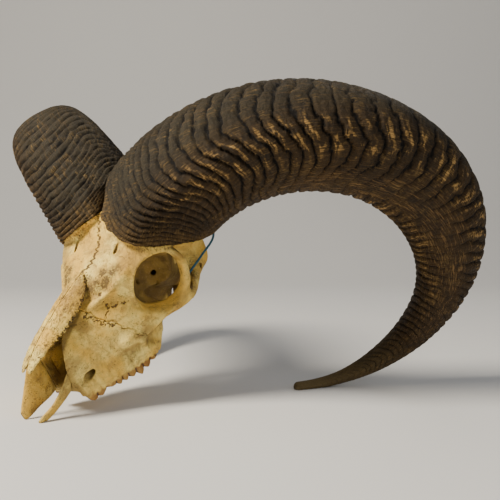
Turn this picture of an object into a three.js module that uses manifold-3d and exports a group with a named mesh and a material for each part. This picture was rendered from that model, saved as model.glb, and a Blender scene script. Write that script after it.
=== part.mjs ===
// Ram skull with its horn sheaths, life size, resting on its muzzle tips and its horn tips.
// Millimetres, +Z up. The muzzle points to -Y and the animal's left is +X.
// The bones are drawn in the skull's own frame: x to the animal's left, y back from the
// muzzle tip, z up from the palate. One turn about X then sets the skull in its resting pose.
import * as THREE from 'three';
import { mergeVertices } from 'three/addons/utils/BufferGeometryUtils.js';
import Module from 'manifold-3d';

const wasm = await Module();
wasm.setup();

// ---- Driving dimensions -------------------------------------------------------------------

const PITCH = THREE.MathUtils.degToRad(27); // palate slopes down to the muzzle by this angle
const FLOOR = 4.3; // height of the resting plane above the muzzle origin, in the resting pose
const SUTURE = 0.3; // gap between neighbouring bones, and between bone and sheath
const FAR = 400; // half side of the blocks that cut space into regions

// Horn sheath: it starts on the frontal bone and bends and twists a little at each step.
const HORN = {
  root: [34.7, 208.5, 110],
  heading: 20.7, // degrees from the animal's left towards its back
  rise: 41.3, // degrees above the palate plane
  bendSide: -73.3, // degrees, which way the first bend goes
  length: 650,
  bend: [191, 278, 299], // degrees over the whole length, as rates at root, middle and tip
  twist: [5.5, -78], // degrees over the whole length, as rates at root and tip
  sectionTurn: [19, -62], // degrees, how the section sits on the bend at root and tip
  keel: 0.22, // how much broader the outer curve is than the inner one
  squareness: [2.8, 2.1], // power of the section at the root, and from half way on
  seatNormal: [0.56, 0.17, 1], // the bone that the sheath sits on faces this way
  seatOffset: -2.2,
  seatRings: 13, // rings near the root that are kept above the seat
  seatSpacing: 0.7,
  innerGap: 0.8, // half the slit between the two sheaths
  gapTop: 147, // under this level the slit widens, and bone shows between the sheaths
  gapSlope: 0.3,
  // part of the length, half depth across the bend, half breadth
  halfSizes: [
    [0, 56.5, 49.5],
    [0.33, 51, 40],
    [0.66, 36.5, 25.5],
    [0.9, 7.6, 6.9],
    [1, 4.6, 4.2],
  ],
  rings: 49,
  substeps: 13, // turns of the curve between two rings
  sides: 12,
  ridges: 16,
  ridgeHeight: 0.022, // part of the half size
};

// Cross sections of the skull: [y, half width, top, level of the widest point, bottom]
const CRANIUM = {
  topPower: 3.1,
  bottomPower: 2.6,
  sections: [
    [110, 20, 83, 68, 56],
    [124, 40, 93, 68, 46],
    [138, 54, 101.5, 71, 42],
    [150, 62, 110.5, 77, 46],
    [163, 64, 125, 86, 48],
    [176, 60, 137, 86, 44],
    [188, 50, 140, 80, 34],
    [202, 44, 130, 68, 27],
    [218, 48, 112, 52, 20],
    [232, 50, 98, 53, 22],
    [243, 48, 88, 52, 28],
    [249, 28, 72, 50, 36],
  ],
};
const FACE = {
  topPower: 1.75,
  bottomPower: 3.2,
  sections: [
    [45, 15, 38, 18, 4],
    [54, 19.5, 56, 17, 0],
    [66, 25, 62, 16, -1],
    [80, 30, 68, 17, -1.5],
    [96, 36, 75, 19, -2],
    [110, 41, 82, 30, -2],
    [122, 45, 88, 40, -2],
    [134, 48, 90, 44, -1.5],
    [146, 48, 82, 40, -1],
    [155, 43, 62, 26, -1],
    [160, 35, 48, 26, 5],
  ],
};

// Nasal bones, each an arched plate: [y, half width of the pair, height of the midline, fall]
const NASAL = {
  thickness: 2.6,
  across: 4,
  archPower: 2.8,
  sections: [
    [19, 8, 46.5, 1.5],
    [27, 11, 53, 3],
    [42, 14.5, 63, 7.5],
    [62, 16.4, 73, 12],
    [88, 17.4, 83.5, 12],
    [106, 14, 89.5, 7.5],
    [119, 3.5, 93, 1],
  ],
};

// Nasal cavity behind the opening: [y, half width, top, middle, bottom]
const CAVITY = {
  power: 2.2,
  sections: [
    [20, 12, 48, 26, 8],
    [40, 13, 54, 28, 7],
    [56, 14, 60, 28, 5],
    [75, 13, 62, 30, 6],
    [95, 9, 60, 36, 14],
    [104, 4, 52, 40, 30],
  ],
};

// Premaxillae: [y, x of the lower edge, its z, x of the upper edge, its z, half thickness]
const PREMAXILLA = {
  join: 47, // y of the suture with the upper jaw
  left: [
    [3.5, 10.8, 1.2, 12.6, 4.8, 1.2],
    [9, 10.4, -0.8, 13, 6.4, 1.9],
    [20, 10.2, -0.4, 14, 8.5, 2.2],
    [33, 10.5, 2, 15.8, 15.5, 2.2],
    [44, 12, 6, 17.6, 25, 2.2],
    [58, 14, 12, 19, 40, 2],
  ],
  right: [
    [3.5, 8.4, 2.4, 11.4, 8.6, 1.2],
    [9, 7.6, 2.2, 12.8, 15, 1.9],
    [20, 7, 4.2, 14.8, 27, 2.2],
    [33, 7.5, 4.5, 16.8, 41, 2.2],
    [44, 9, 5, 18, 49, 2.2],
    [58, 12, 6, 19, 54, 2],
  ],
};

// Orbit: an oval rim and the socket behind it.
const ORBIT = {
  centre: [54.5, 161, 63.5],
  front: [-17, -43, 12], // from the centre to the front of the rim
  up: [14, 16, 49], // from the centre to the top of the rim
  halfLength: 27.5,
  halfHeight: 29.5,
  rim: 3.8,
  socketDepth: 38,
  socketShift: 3, // the socket reaches this far in front of the rim's middle
};

// Zygomatic arch, from the face to the ear region: [x, y, z, half height, half thickness]
const CHEEK_ARCH = [
  [34, 132, 28, 10, 6],
  [52, 156, 32, 8, 5],
  [60, 172, 31, 6, 4],
  [62, 189, 32, 5.5, 3.6],
  [55.5, 204, 36, 6, 4],
  [46.5, 217, 38, 6.5, 6],
  [41, 226, 42, 7, 7],
];
const POST_ORBITAL_BAR = [
  [60, 172, 90, 6, 5],
  [65, 184, 72, 5, 4.4],
  [64, 186, 52, 5, 4.4],
  [61, 180, 36, 5, 4.4],
];

// Cheek teeth of one side, from front to back: [length, width, cusp rows]
const TEETH = {
  start: [20.5, 54, -3],
  end: [39, 134, -4],
  crown: 9.5,
  sizes: [
    [8.5, 9, 1],
    [9.5, 10, 1],
    [10, 11, 1],
    [13, 13, 2],
    [16, 14, 2],
    [17, 13.5, 2],
  ],
};

// Bone under the sheath: [part of the rim's size, part of the way to the foot]
const PEDICLE = {
  foot: [22, 196, 60],
  steps: [
    [0.985, 0],
    [0.97, 0.1],
    [0.78, 0.32],
    [0.62, 0.6],
  ],
};

// Small parts of the skull's base: [centre, half sizes]
const CONDYLE = [[13, 244, 33], [9, 8, 12]];
const BULLA = [[25, 214, 19], [9, 13, 11]];
const ZYGOMATIC_BODY = [[38, 143, 34], [12, 20, 14]];
const TEMPLE_HOLLOW = [[70, 203, 64], [27, 17, 24]];
const UNDER_ORBIT_HOLLOW = [[46, 176, 22], [26, 24, 22]];
const FORAMEN_MAGNUM = [[0, 250, 37], [10, 20, 9]];
const JAW_CANAL = [[25, 61, 15.5], [7, 5.5, 2.8]];

// Thin bars and plates: [x, y, z, half height, half thickness]
const PTERYGOID = [
  [13, 148, 14, 15, 1.6],
  [12.5, 168, 18, 14, 1.3],
  [12, 188, 17, 12, 1.5],
];
const PARAMASTOID = [
  [38, 228, 34, 7, 5],
  [33, 215, 9, 3, 2],
];
// Edge of the upper jaw that holds the cheek teeth
const TOOTH_BEARING_EDGE = [
  [21, 52, 4, 6, 5],
  [29, 84, 4.5, 7, 7.5],
  [36.5, 116, 4, 7, 8.5],
  [40, 141, 4.5, 6, 6],
];

// Sutures between the cranium and the upper jaw: a slanting plane, and a corner behind the teeth
const CHEEK_SUTURE = { normal: [0, 0.817, 0.578], distance: 113 };
const MOLAR_CORNER = { y: 152, z: 20 };

// Bone under the braincase: [y, half width, top, level of the widest point, bottom]
const BASE = {
  power: 2.5,
  sections: [
    [128, 17, 60, 30, 8],
    [160, 15, 60, 36, 19],
    [190, 16, 60, 34, 18],
    [226, 17, 60, 34, 20],
    [246, 15, 50, 34, 24],
  ],
};

// Tie: a thin cord, looped round the skull behind the eyes and knotted nowhere.
const TIE = {
  radius: 1.15,
  steps: 40,
  sides: 6,
  route: [
    [0, 163, -7],
    [18, 163.5, -6],
    [29.5, 161.5, 0],
    [34, 163, 13],
    [41, 182, 28],
    [50.5, 201, 43],
    [56, 224, 53.5],
    [54.5, 252, 61],
    [38, 270, 68],
    [14, 262, 78],
  ],
};

// ---- Materials ----------------------------------------------------------------------------

const bone = new THREE.MeshStandardMaterial({ color: 0xe3d3a6, roughness: 0.72, metalness: 0 });
const nasalBone = new THREE.MeshStandardMaterial({ color: 0xdccb9f, roughness: 0.75, metalness: 0 });
const hornSheath = new THREE.MeshStandardMaterial({ color: 0x4a3a29, roughness: 0.55, metalness: 0 });
const blueCord = new THREE.MeshStandardMaterial({ color: 0x1f4c63, roughness: 0.8, metalness: 0 });

// ---- Helpers ------------------------------------------------------------------------------

function vector(values) {
  return new THREE.Vector3(...values);
}

// Reads rows of [position, value, ...] at a position, with a smooth curve through the rows.
function readRows(rows, position) {
  const last = rows.length - 1;
  let low = 0;
  while (low < last - 1 && rows[low + 1][0] < position) {
    low += 1;
  }
  const [a, b] = [rows[low], rows[low + 1]];
  const before = rows[Math.max(low - 1, 0)];
  const after = rows[Math.min(low + 2, last)];
  const span = b[0] - a[0];
  const t = THREE.MathUtils.clamp((position - a[0]) / span, 0, 1);
  return a.slice(1).map((value, i) => {
    const next = b[i + 1];
    const slopeA = (next - before[i + 1]) / (b[0] - before[0]) * span;
    const slopeB = (after[i + 1] - value) / (after[0] - a[0]) * span;
    const rest = 1 - t;
    return value * rest * rest * (1 + 2 * t) + next * t * t * (3 - 2 * t)
      + slopeA * t * rest * rest - slopeB * t * t * rest;
  });
}

// Positions from the first row to the last one, about one step apart.
function positions(rows, step) {
  const start = rows[0][0];
  const end = rows[rows.length - 1][0];
  const count = Math.round((end - start) / step);
  return Array.from({ length: count + 1 }, (_, i) => start + (end - start) * i / count);
}

// A closed body through rings of points that all have the same count.
function skin(rings) {
  const count = rings[0].length;
  const points = rings.flat();
  const index = [];
  for (let r = 0; r < rings.length - 1; r += 1) {
    for (let i = 0; i < count; i += 1) {
      const j = (i + 1) % count;
      const [a, b, c, d] = [r * count + i, r * count + j, (r + 1) * count + j, (r + 1) * count + i];
      index.push(a, b, c, a, c, d);
    }
  }
  for (const [ring, flip] of [[0, true], [rings.length - 1, false]]) {
    const centre = new THREE.Vector3();
    rings[ring].forEach((point) => centre.addScaledVector(point, 1 / count));
    points.push(centre);
    for (let i = 0; i < count; i += 1) {
      const [a, b] = [ring * count + i, ring * count + (i + 1) % count];
      index.push(...(flip ? [points.length - 1, b, a] : [points.length - 1, a, b]));
    }
  }
  const geometry = new THREE.BufferGeometry().setFromPoints(points);
  geometry.setIndex(index);
  return solid(geometry);
}

// Turns a closed geometry into a manifold solid whose faces point outwards.
function solid(geometry) {
  const bare = geometry.clone();
  bare.deleteAttribute('normal');
  bare.deleteAttribute('uv');
  const merged = mergeVertices(bare, 1e-4);
  const vertProperties = new Float32Array(merged.attributes.position.array);
  let triVerts = new Uint32Array(merged.index.array);
  if (signedVolume(vertProperties, triVerts) < 0) {
    triVerts = triVerts.map((_, i) => triVerts[i - (i % 3) + (2 - (i % 3))]);
  }
  return new wasm.Manifold(new wasm.Mesh({ numProp: 3, vertProperties, triVerts }));
}

function signedVolume(positionArray, index) {
  let volume = 0;
  const [a, b, c] = [new THREE.Vector3(), new THREE.Vector3(), new THREE.Vector3()];
  for (let i = 0; i < index.length; i += 3) {
    a.fromArray(positionArray, index[i] * 3);
    b.fromArray(positionArray, index[i + 1] * 3);
    c.fromArray(positionArray, index[i + 2] * 3);
    volume += a.dot(b.cross(c)) / 6;
  }
  return volume;
}

function ellipsoid(centre, halfSizes, matrix = new THREE.Matrix4()) {
  const geometry = new THREE.SphereGeometry(1, 9, 6);
  geometry.scale(...halfSizes);
  geometry.applyMatrix4(matrix);
  geometry.translate(...centre);
  return solid(geometry);
}

function block(centre, size) {
  const geometry = new THREE.BoxGeometry(...size);
  geometry.translate(...centre);
  return solid(geometry);
}

function mirrored(body) {
  return body.mirror([1, 0, 0]);
}

function both(body) {
  return body.add(mirrored(body));
}

// A symmetric cross section whose top and bottom halves are super-ellipses.
function ovalRing(y, [halfWidth, top, middle, bottom], topPower, bottomPower, sides) {
  return Array.from({ length: sides }, (_, i) => {
    const angle = (i + 0.5) / sides * Math.PI * 2;
    const [c, s] = [Math.cos(angle), Math.sin(angle)];
    const power = 2 / (s > 0 ? topPower : bottomPower);
    const reach = s > 0 ? top - middle : middle - bottom;
    const x = halfWidth * Math.sign(c) * Math.abs(c) ** power;
    return new THREE.Vector3(x, y, middle + reach * Math.sign(s) * Math.abs(s) ** power);
  });
}

function ovalBody(sections, topPower, bottomPower, step, sides) {
  const rings = positions(sections, step).map(
    (y) => ovalRing(y, readRows(sections, y), topPower, bottomPower, sides),
  );
  return skin(rings);
}

// A bar with an oval section along points of [x, y, z, half height, half thickness].
function bar(points, steps, sides = 8) {
  const path = new THREE.CatmullRomCurve3(points.map(([x, y, z]) => new THREE.Vector3(x, y, z)));
  const rows = points.map((point, i) => [i / (points.length - 1), point[3], point[4]]);
  const rings = Array.from({ length: steps + 1 }, (_, i) => {
    const t = i / steps;
    const [halfHeight, halfThickness] = readRows(rows, t);
    const along = path.getTangent(t);
    const side = new THREE.Vector3(1, 0, 0).addScaledVector(along, -along.x).normalize();
    const up = new THREE.Vector3().crossVectors(along, side);
    return ovalAround(path.getPoint(t), up, halfHeight, side, halfThickness, sides);
  });
  return skin(rings);
}

function ovalAround(centre, up, halfUp, side, halfSide, sides) {
  return Array.from({ length: sides }, (_, k) => {
    const angle = k / sides * Math.PI * 2;
    return centre.clone()
      .addScaledVector(up, halfUp * Math.cos(angle))
      .addScaledVector(side, halfSide * Math.sin(angle));
  });
}

// ---- Horns --------------------------------------------------------------------------------

function hornFrames() {
  const [heading, rise, side] = [HORN.heading, HORN.rise, HORN.bendSide].map(THREE.MathUtils.degToRad);
  const along = new THREE.Vector3(
    Math.cos(rise) * Math.cos(heading),
    Math.cos(rise) * Math.sin(heading),
    Math.sin(rise),
  );
  const level = new THREE.Vector3(0, 0, 1).cross(along).normalize();
  const bendTo = level.clone().applyAxisAngle(along, side);
  const point = vector(HORN.root);
  const frames = [];
  const stepCount = (HORN.rings - 1) * HORN.substeps;
  for (let i = 0; i <= stepCount; i += 1) {
    const t = i / stepCount;
    if (i % HORN.substeps === 0) {
      frames.push({ t, point: point.clone(), along: along.clone(), bendTo: bendTo.clone() });
    }
    const [rootBend, midBend, tipBend] = HORN.bend;
    const rate = rootBend * (1 - t) ** 2 + 2 * midBend * t * (1 - t) + tipBend * t * t;
    const bend = THREE.MathUtils.degToRad(rate) / stepCount;
    const twist = THREE.MathUtils.degToRad(THREE.MathUtils.lerp(...HORN.twist, t)) / stepCount;
    const axis = new THREE.Vector3().crossVectors(along, bendTo);
    const halfway = along.clone().applyAxisAngle(axis, bend / 2);
    point.addScaledVector(halfway, HORN.length / stepCount);
    along.applyAxisAngle(axis, bend);
    bendTo.applyAxisAngle(axis, bend);
    bendTo.applyAxisAngle(along, twist);
  }
  return frames;
}

function signedPower(value, power) {
  return Math.sign(value) * Math.abs(value) ** power;
}

// Slides the points of a ring along the first heading until they stand clear of the seat.
function liftToSeat(ring, frames, index, grow) {
  const normal = vector(HORN.seatNormal).normalize();
  const along = frames[0].along;
  const origin = frames[0].point.clone().addScaledVector(along, HORN.seatOffset);
  const clearance = HORN.seatSpacing * index - grow;
  for (const point of ring) {
    const height = point.clone().sub(origin).dot(normal);
    if (index === 0 || height < clearance) {
      point.addScaledVector(along, (clearance - height) / along.dot(normal));
    }
  }
}

// The left sheath. grow swells it, to cut its seat with a clearance into the bone.
function hornRings(grow) {
  const frames = hornFrames();
  return frames.map(({ t, point, along, bendTo }, i) => {
    const [depth, breadth] = readRows(HORN.halfSizes, t);
    const swell = 1 + HORN.ridgeHeight * Math.cos(2 * Math.PI * HORN.ridges * t);
    const power = 2 / THREE.MathUtils.lerp(...HORN.squareness, Math.min(2 * t, 1));
    const turn = THREE.MathUtils.degToRad(THREE.MathUtils.lerp(...HORN.sectionTurn, t));
    const outward = bendTo.clone().negate().applyAxisAngle(along, turn);
    const across = new THREE.Vector3().crossVectors(bendTo, along).applyAxisAngle(along, turn);
    const ring = Array.from({ length: HORN.sides }, (_, k) => {
      const angle = k / HORN.sides * Math.PI * 2;
      const out = signedPower(Math.cos(angle), power);
      const wide = signedPower(Math.sin(angle), power) * (1 + HORN.keel * out);
      return point.clone()
        .addScaledVector(outward, (depth * swell + grow) * out)
        .addScaledVector(across, (breadth * swell + grow) * wide);
    });
    if (i < HORN.seatRings) {
      liftToSeat(ring, frames, i, grow);
    }
    for (const place of ring) {
      const gap = HORN.innerGap + HORN.gapSlope * Math.max(HORN.gapTop - place.z, 0);
      place.setX(Math.max(place.x, gap - grow));
    }
    return ring;
  });
}

// Bone that carries the sheath: it narrows from the sheath's rim into the braincase.
function pedicle() {
  const rim = hornRings(0)[0];
  const centre = rim.reduce((sum, point) => sum.addScaledVector(point, 1 / rim.length), new THREE.Vector3());
  const rings = PEDICLE.steps.map(([size, sink]) => rim.map((point) => {
    const place = centre.clone().lerp(point, size);
    return place.lerp(vector(PEDICLE.foot), sink);
  }));
  return skin(rings);
}

// ---- Bones --------------------------------------------------------------------------------

function orbitAxes() {
  const front = vector(ORBIT.front).normalize();
  const up = vector(ORBIT.up);
  up.addScaledVector(front, -up.dot(front)).normalize();
  const out = new THREE.Vector3().crossVectors(front, up);
  if (out.x < 0) {
    out.negate();
  }
  return { front, up, out };
}

function orbitRim() {
  const { front, up, out } = orbitAxes();
  const centre = vector(ORBIT.centre);
  const steps = 14;
  const rings = Array.from({ length: steps + 1 }, (_, i) => {
    const angle = i / steps * Math.PI * 2;
    const radial = front.clone().multiplyScalar(ORBIT.halfLength * Math.cos(angle))
      .addScaledVector(up, ORBIT.halfHeight * Math.sin(angle));
    return ovalAround(centre.clone().add(radial), out, ORBIT.rim * 1.2, radial.normalize(), ORBIT.rim, 6);
  });
  const halves = [rings.slice(0, steps / 2 + 1), rings.slice(steps / 2)];
  return skin(halves[0]).add(skin(halves[1]));
}

function orbitSocket() {
  const { front, up, out } = orbitAxes();
  const frame = new THREE.Matrix4().makeBasis(front, up, out);
  const radii = [ORBIT.halfLength - ORBIT.rim * 0.8, ORBIT.halfHeight - ORBIT.rim * 0.8];
  const funnel = new THREE.CylinderGeometry(1.04, 0.5, ORBIT.socketDepth, 16);
  funnel.rotateX(Math.PI / 2);
  funnel.translate(0, 0, -ORBIT.socketDepth / 2 + 8);
  funnel.scale(radii[0], radii[1], 1);
  funnel.translate(ORBIT.socketShift, 0, 0);
  funnel.applyMatrix4(frame);
  funnel.translate(...ORBIT.centre);
  return solid(funnel);
}

function boneBlank() {
  const cranium = ovalBody(CRANIUM.sections, CRANIUM.topPower, CRANIUM.bottomPower, 12, 18);
  const face = ovalBody(FACE.sections, FACE.topPower, FACE.bottomPower, 13, 18);
  return cranium.add(face).add(ovalBody(BASE.sections, BASE.power, BASE.power, 20, 12));
}

function skullBone() {
  const hollows = both(ellipsoid(...TEMPLE_HOLLOW)).add(both(ellipsoid(...UNDER_ORBIT_HOLLOW)));
  let body = boneBlank().add(both(pedicle())).subtract(hollows);
  body = body.add(both(ellipsoid(...ZYGOMATIC_BODY))).add(both(bar(TOOTH_BEARING_EDGE, 4, 8)));
  body = body.add(both(orbitRim())).add(both(bar(CHEEK_ARCH, 8, 6)));
  body = body.add(both(bar(POST_ORBITAL_BAR, 4, 6)));
  body = body.subtract(both(orbitSocket()));
  body = body.add(both(bar(PTERYGOID, 4, 6))).add(both(bar(PARAMASTOID, 3, 6)));
  body = body.add(both(ellipsoid(...CONDYLE))).add(both(ellipsoid(...BULLA)));
  return body.subtract(ellipsoid(...FORAMEN_MAGNUM));
}

// The part of space that belongs to the upper jaw, in front of the cheek suture.
function jawRegion(grow) {
  const normal = vector(CHEEK_SUTURE.normal);
  const slab = new THREE.BoxGeometry(FAR, FAR, FAR);
  slab.applyMatrix4(new THREE.Matrix4().makeRotationX(Math.atan2(normal.z, normal.y)));
  slab.translate(...normal.multiplyScalar(CHEEK_SUTURE.distance + grow - FAR / 2));
  const { y, z } = MOLAR_CORNER;
  const molars = block([0, y + grow - FAR / 2, z + grow - FAR / 2], [FAR, FAR, FAR]);
  return solid(slab).add(molars);
}

function nasalRing(y, [halfWidth, top, fall], lower, upper) {
  const steps = NASAL.across;
  const start = SUTURE / 2;
  const outer = [];
  const inner = [];
  for (let i = 0; i <= steps; i += 1) {
    const part = i / steps;
    const x = start + (halfWidth - start) * part;
    const level = top - fall * part ** NASAL.archPower;
    outer.push(new THREE.Vector3(x, y, level + upper));
    inner.unshift(new THREE.Vector3(x, y, level - NASAL.thickness * (1 - 0.35 * part) - lower));
  }
  return [...outer, ...inner];
}

function nasalBody(lower, upper) {
  const rings = positions(NASAL.sections, 10).map(
    (y) => nasalRing(y, readRows(NASAL.sections, y), lower, upper),
  );
  return skin(rings);
}

// The thin blade of the premaxilla. Behind its suture it goes on as a process of the upper jaw.
function muzzleBlade(rows) {
  const rings = positions(rows, 7).map((y) => {
    const [lowX, lowZ, highX, highZ, half] = readRows(rows, y);
    const low = new THREE.Vector3(lowX, y, lowZ);
    const high = new THREE.Vector3(highX, y, highZ);
    const middle = low.clone().lerp(high, 0.5);
    const up = high.clone().sub(low);
    const reach = up.length() / 2;
    up.normalize();
    const side = new THREE.Vector3(up.z, 0, -up.x);
    return ovalAround(middle, up, reach, side, half, 10);
  });
  return skin(rings);
}

function premaxilla(rows) {
  return muzzleBlade(rows).intersect(block([0, PREMAXILLA.join - FAR / 2, 0], [FAR, FAR, FAR]));
}

function toothRow() {
  const start = vector(TEETH.start);
  const end = vector(TEETH.end);
  const total = TEETH.sizes.reduce((sum, [length]) => sum + length, 0);
  const yaw = Math.atan2(end.x - start.x, end.y - start.y);
  let row = null;
  let passed = 0;
  for (const [length, width, cusps] of TEETH.sizes) {
    for (let k = 0; k < cusps; k += 1) {
      const lobe = length / cusps;
      const at = start.clone().lerp(end, (passed + lobe * (k + 0.5)) / total);
      const shape = new THREE.CylinderGeometry(1, 0.72, TEETH.crown + 6, 6);
      shape.rotateX(Math.PI / 2);
      shape.scale(width / 2, lobe / 1.8, 1);
      shape.rotateZ(-yaw);
      shape.translate(at.x, at.y, at.z - TEETH.crown / 2 + 3);
      row = row ? row.add(solid(shape)) : solid(shape);
    }
    passed += length;
  }
  return row;
}

function upperJaw(side, bones, seat) {
  const cavity = ovalBody(CAVITY.sections, CAVITY.power, CAVITY.power, 12, 14);
  const half = block([FAR / 2 + SUTURE / 2, 0, 0], [FAR, 2 * FAR, FAR]);
  const behindJoin = block([0, PREMAXILLA.join + SUTURE + FAR / 2, 0], [FAR, FAR, FAR]);
  let jaw = bones.subtract(cavity);
  if (side < 0) {
    jaw = jaw.add(mirrored(muzzleBlade(PREMAXILLA.right))); // broken off on the left side
  }
  jaw = jaw.subtract(seat).intersect(jawRegion(0)).intersect(behindJoin);
  jaw = jaw.subtract(both(ellipsoid(...JAW_CANAL))).add(both(toothRow()));
  return jaw.intersect(side > 0 ? half : mirrored(half));
}

function largest(body) {
  const pieces = body.decompose();
  pieces.sort((a, b) => b.volume() - a.volume());
  return pieces[0];
}

// ---- Assembly -----------------------------------------------------------------------------

// Everything under the resting plane is cut away, which leaves small flats on the four tips.
function restingPlane() {
  const under = new THREE.BoxGeometry(4 * FAR, 4 * FAR, FAR);
  under.translate(0, 0, FLOOR - FAR / 2);
  under.rotateX(-PITCH);
  return solid(under);
}

function toGeometry(body) {
  const { vertProperties, triVerts } = body.getMesh();
  const geometry = new THREE.BufferGeometry();
  geometry.setAttribute('position', new THREE.BufferAttribute(vertProperties, 3));
  geometry.setIndex(new THREE.BufferAttribute(triVerts, 1));
  geometry.computeVertexNormals();
  return geometry;
}

function tieGeometry() {
  const leftSide = TIE.route.map(vector);
  const rightSide = leftSide.slice(1).reverse().map((point) => point.clone().setX(-point.x));
  const path = new THREE.CatmullRomCurve3([...leftSide, ...rightSide], true);
  return new THREE.TubeGeometry(path, TIE.steps, TIE.radius, TIE.sides, true);
}

const bones = skullBone();
const floorBlock = restingPlane();
const seatRings = hornRings(SUTURE).filter((_, i) => i % 4 === 0 && i < HORN.seatRings);
const hornSeat = both(skin(seatRings));
const nasalSeat = both(nasalBody(SUTURE, 20));
const leftHorn = skin(hornRings(0));
const leftNasal = nasalBody(0, 0);
const cranium = bones.subtract(jawRegion(SUTURE)).subtract(nasalSeat).subtract(hornSeat);

const parts = {
  cranium: [largest(cranium), bone],
  upper_jaw_left: [largest(upperJaw(1, bones, nasalSeat)), bone],
  upper_jaw_right: [largest(upperJaw(-1, bones, nasalSeat)), bone],
  nasal_left: [leftNasal, nasalBone],
  nasal_right: [mirrored(leftNasal), nasalBone],
  premaxilla_left: [premaxilla(PREMAXILLA.left), bone],
  premaxilla_right: [mirrored(premaxilla(PREMAXILLA.right)), bone],
  horn_left: [leftHorn, hornSheath],
  horn_right: [mirrored(leftHorn), hornSheath],
};

const skull = new THREE.Group();
for (const [name, [body, material]] of Object.entries(parts)) {
  const mesh = new THREE.Mesh(toGeometry(body.subtract(floorBlock)), material);
  mesh.name = name;
  skull.add(mesh);
}
const tie = new THREE.Mesh(tieGeometry(), blueCord);
tie.name = 'tie_cord';
skull.add(tie);

skull.rotation.x = PITCH;
const group = new THREE.Group();
group.add(skull);
group.updateMatrixWorld(true);
const bounds = new THREE.Box3().setFromObject(group, true);
skull.position.set(0, -(bounds.min.y + bounds.max.y) / 2, -FLOOR);

export default group;
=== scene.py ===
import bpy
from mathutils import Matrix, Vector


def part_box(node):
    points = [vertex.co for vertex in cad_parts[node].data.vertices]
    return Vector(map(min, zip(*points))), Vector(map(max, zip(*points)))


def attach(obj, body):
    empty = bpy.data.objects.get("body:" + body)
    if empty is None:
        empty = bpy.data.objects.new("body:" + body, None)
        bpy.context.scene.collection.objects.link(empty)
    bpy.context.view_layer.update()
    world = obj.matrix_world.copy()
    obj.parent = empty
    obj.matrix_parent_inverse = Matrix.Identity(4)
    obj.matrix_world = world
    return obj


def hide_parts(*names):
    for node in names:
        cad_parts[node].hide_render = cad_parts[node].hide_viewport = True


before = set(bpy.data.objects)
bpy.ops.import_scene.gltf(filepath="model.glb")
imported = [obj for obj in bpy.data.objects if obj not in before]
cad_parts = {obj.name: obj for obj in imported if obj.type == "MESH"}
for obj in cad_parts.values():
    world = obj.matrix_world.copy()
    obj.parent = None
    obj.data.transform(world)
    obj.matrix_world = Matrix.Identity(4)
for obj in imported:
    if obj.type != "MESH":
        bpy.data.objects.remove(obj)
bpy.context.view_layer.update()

import math
from collections import namedtuple

import bpy
import numpy as np
from bpy.props import FloatProperty, FloatVectorProperty, IntProperty, PointerProperty
from bpy.types import Operator, Panel, PropertyGroup
from mathutils import Euler, Vector

bl_info = {
    "name": "Ram Skull",
    "version": (1, 0, 0),
    "blender": (4, 5, 0),
    "location": "3D View > Sidebar > Ram Skull",
    "description": "Builds a ram's skull with its horn sheaths and the cord looped round it",
    "category": "Object",
}

# ---- Sizes of the skull, in millimetres, in the skull's own frame ---------------------------
# x points to the animal's left, y back from the muzzle tip and z up from the palate.

PITCH = math.radians(27)  # the palate slopes down to the muzzle by this angle
FLOOR = 4.3  # height of the resting plane above the muzzle origin, in the resting pose
FAR = 60.0  # distance given to the empty part of a field
REACH = 11.0  # how far round a shape its distances are worked out
SUTURE = 0.3  # gap between neighbouring bones

# Cross sections: y, half width, top, level of the widest point, bottom
CRANIUM_ROWS = [
    [110, 20, 83, 68, 56],
    [124, 40, 93, 68, 46],
    [138, 54, 101.5, 71, 42],
    [150, 62, 110.5, 77, 46],
    [163, 64, 125, 86, 48],
    [176, 60, 137, 86, 44],
    [188, 50, 140, 80, 34],
    [202, 44, 130, 68, 27],
    [218, 48, 112, 52, 20],
    [232, 50, 98, 53, 22],
    [243, 48, 88, 52, 28],
    [249, 28, 72, 50, 36],
]
CRANIUM_POWERS = (3.1, 2.6)
FACE_ROWS = [
    [45, 15, 38, 18, 4],
    [54, 19.5, 56, 17, 0],
    [66, 25, 62, 16, -1],
    [80, 30, 68, 17, -1.5],
    [96, 36, 75, 19, -2],
    [110, 41, 82, 30, -2],
    [122, 45, 88, 40, -2],
    [134, 48, 90, 44, -1.5],
    [146, 48, 82, 40, -1],
    [155, 43, 62, 26, -1],
    [160, 35, 48, 26, 5],
]
FACE_POWERS = (1.75, 3.2)
KEEL_ROWS = [
    [128, 17, 60, 30, 8],
    [160, 15, 60, 36, 19],
    [190, 16, 60, 34, 18],
    [226, 17, 60, 34, 20],
    [246, 15, 50, 34, 24],
]
CAVITY_ROWS = [
    [20, 12, 48, 26, 8],
    [40, 13, 54, 28, 7],
    [56, 14, 60, 28, 5],
    [75, 13, 62, 30, 6],
    [95, 9, 60, 36, 14],
    [104, 4, 52, 40, 30],
]
# Nasal bones: y, half width of the pair, height of the midline, fall to the edge
NASAL_ROWS = [
    [19, 8, 46.5, 1.5],
    [27, 11, 53, 3],
    [42, 14.5, 63, 7.5],
    [62, 16.4, 73, 12],
    [88, 17.4, 83.5, 12],
    [106, 14, 89.5, 7.5],
    [119, 3.5, 93, 1],
]
NASAL_THICKNESS = 2.6
NASAL_ARCH = 2.8
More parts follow.
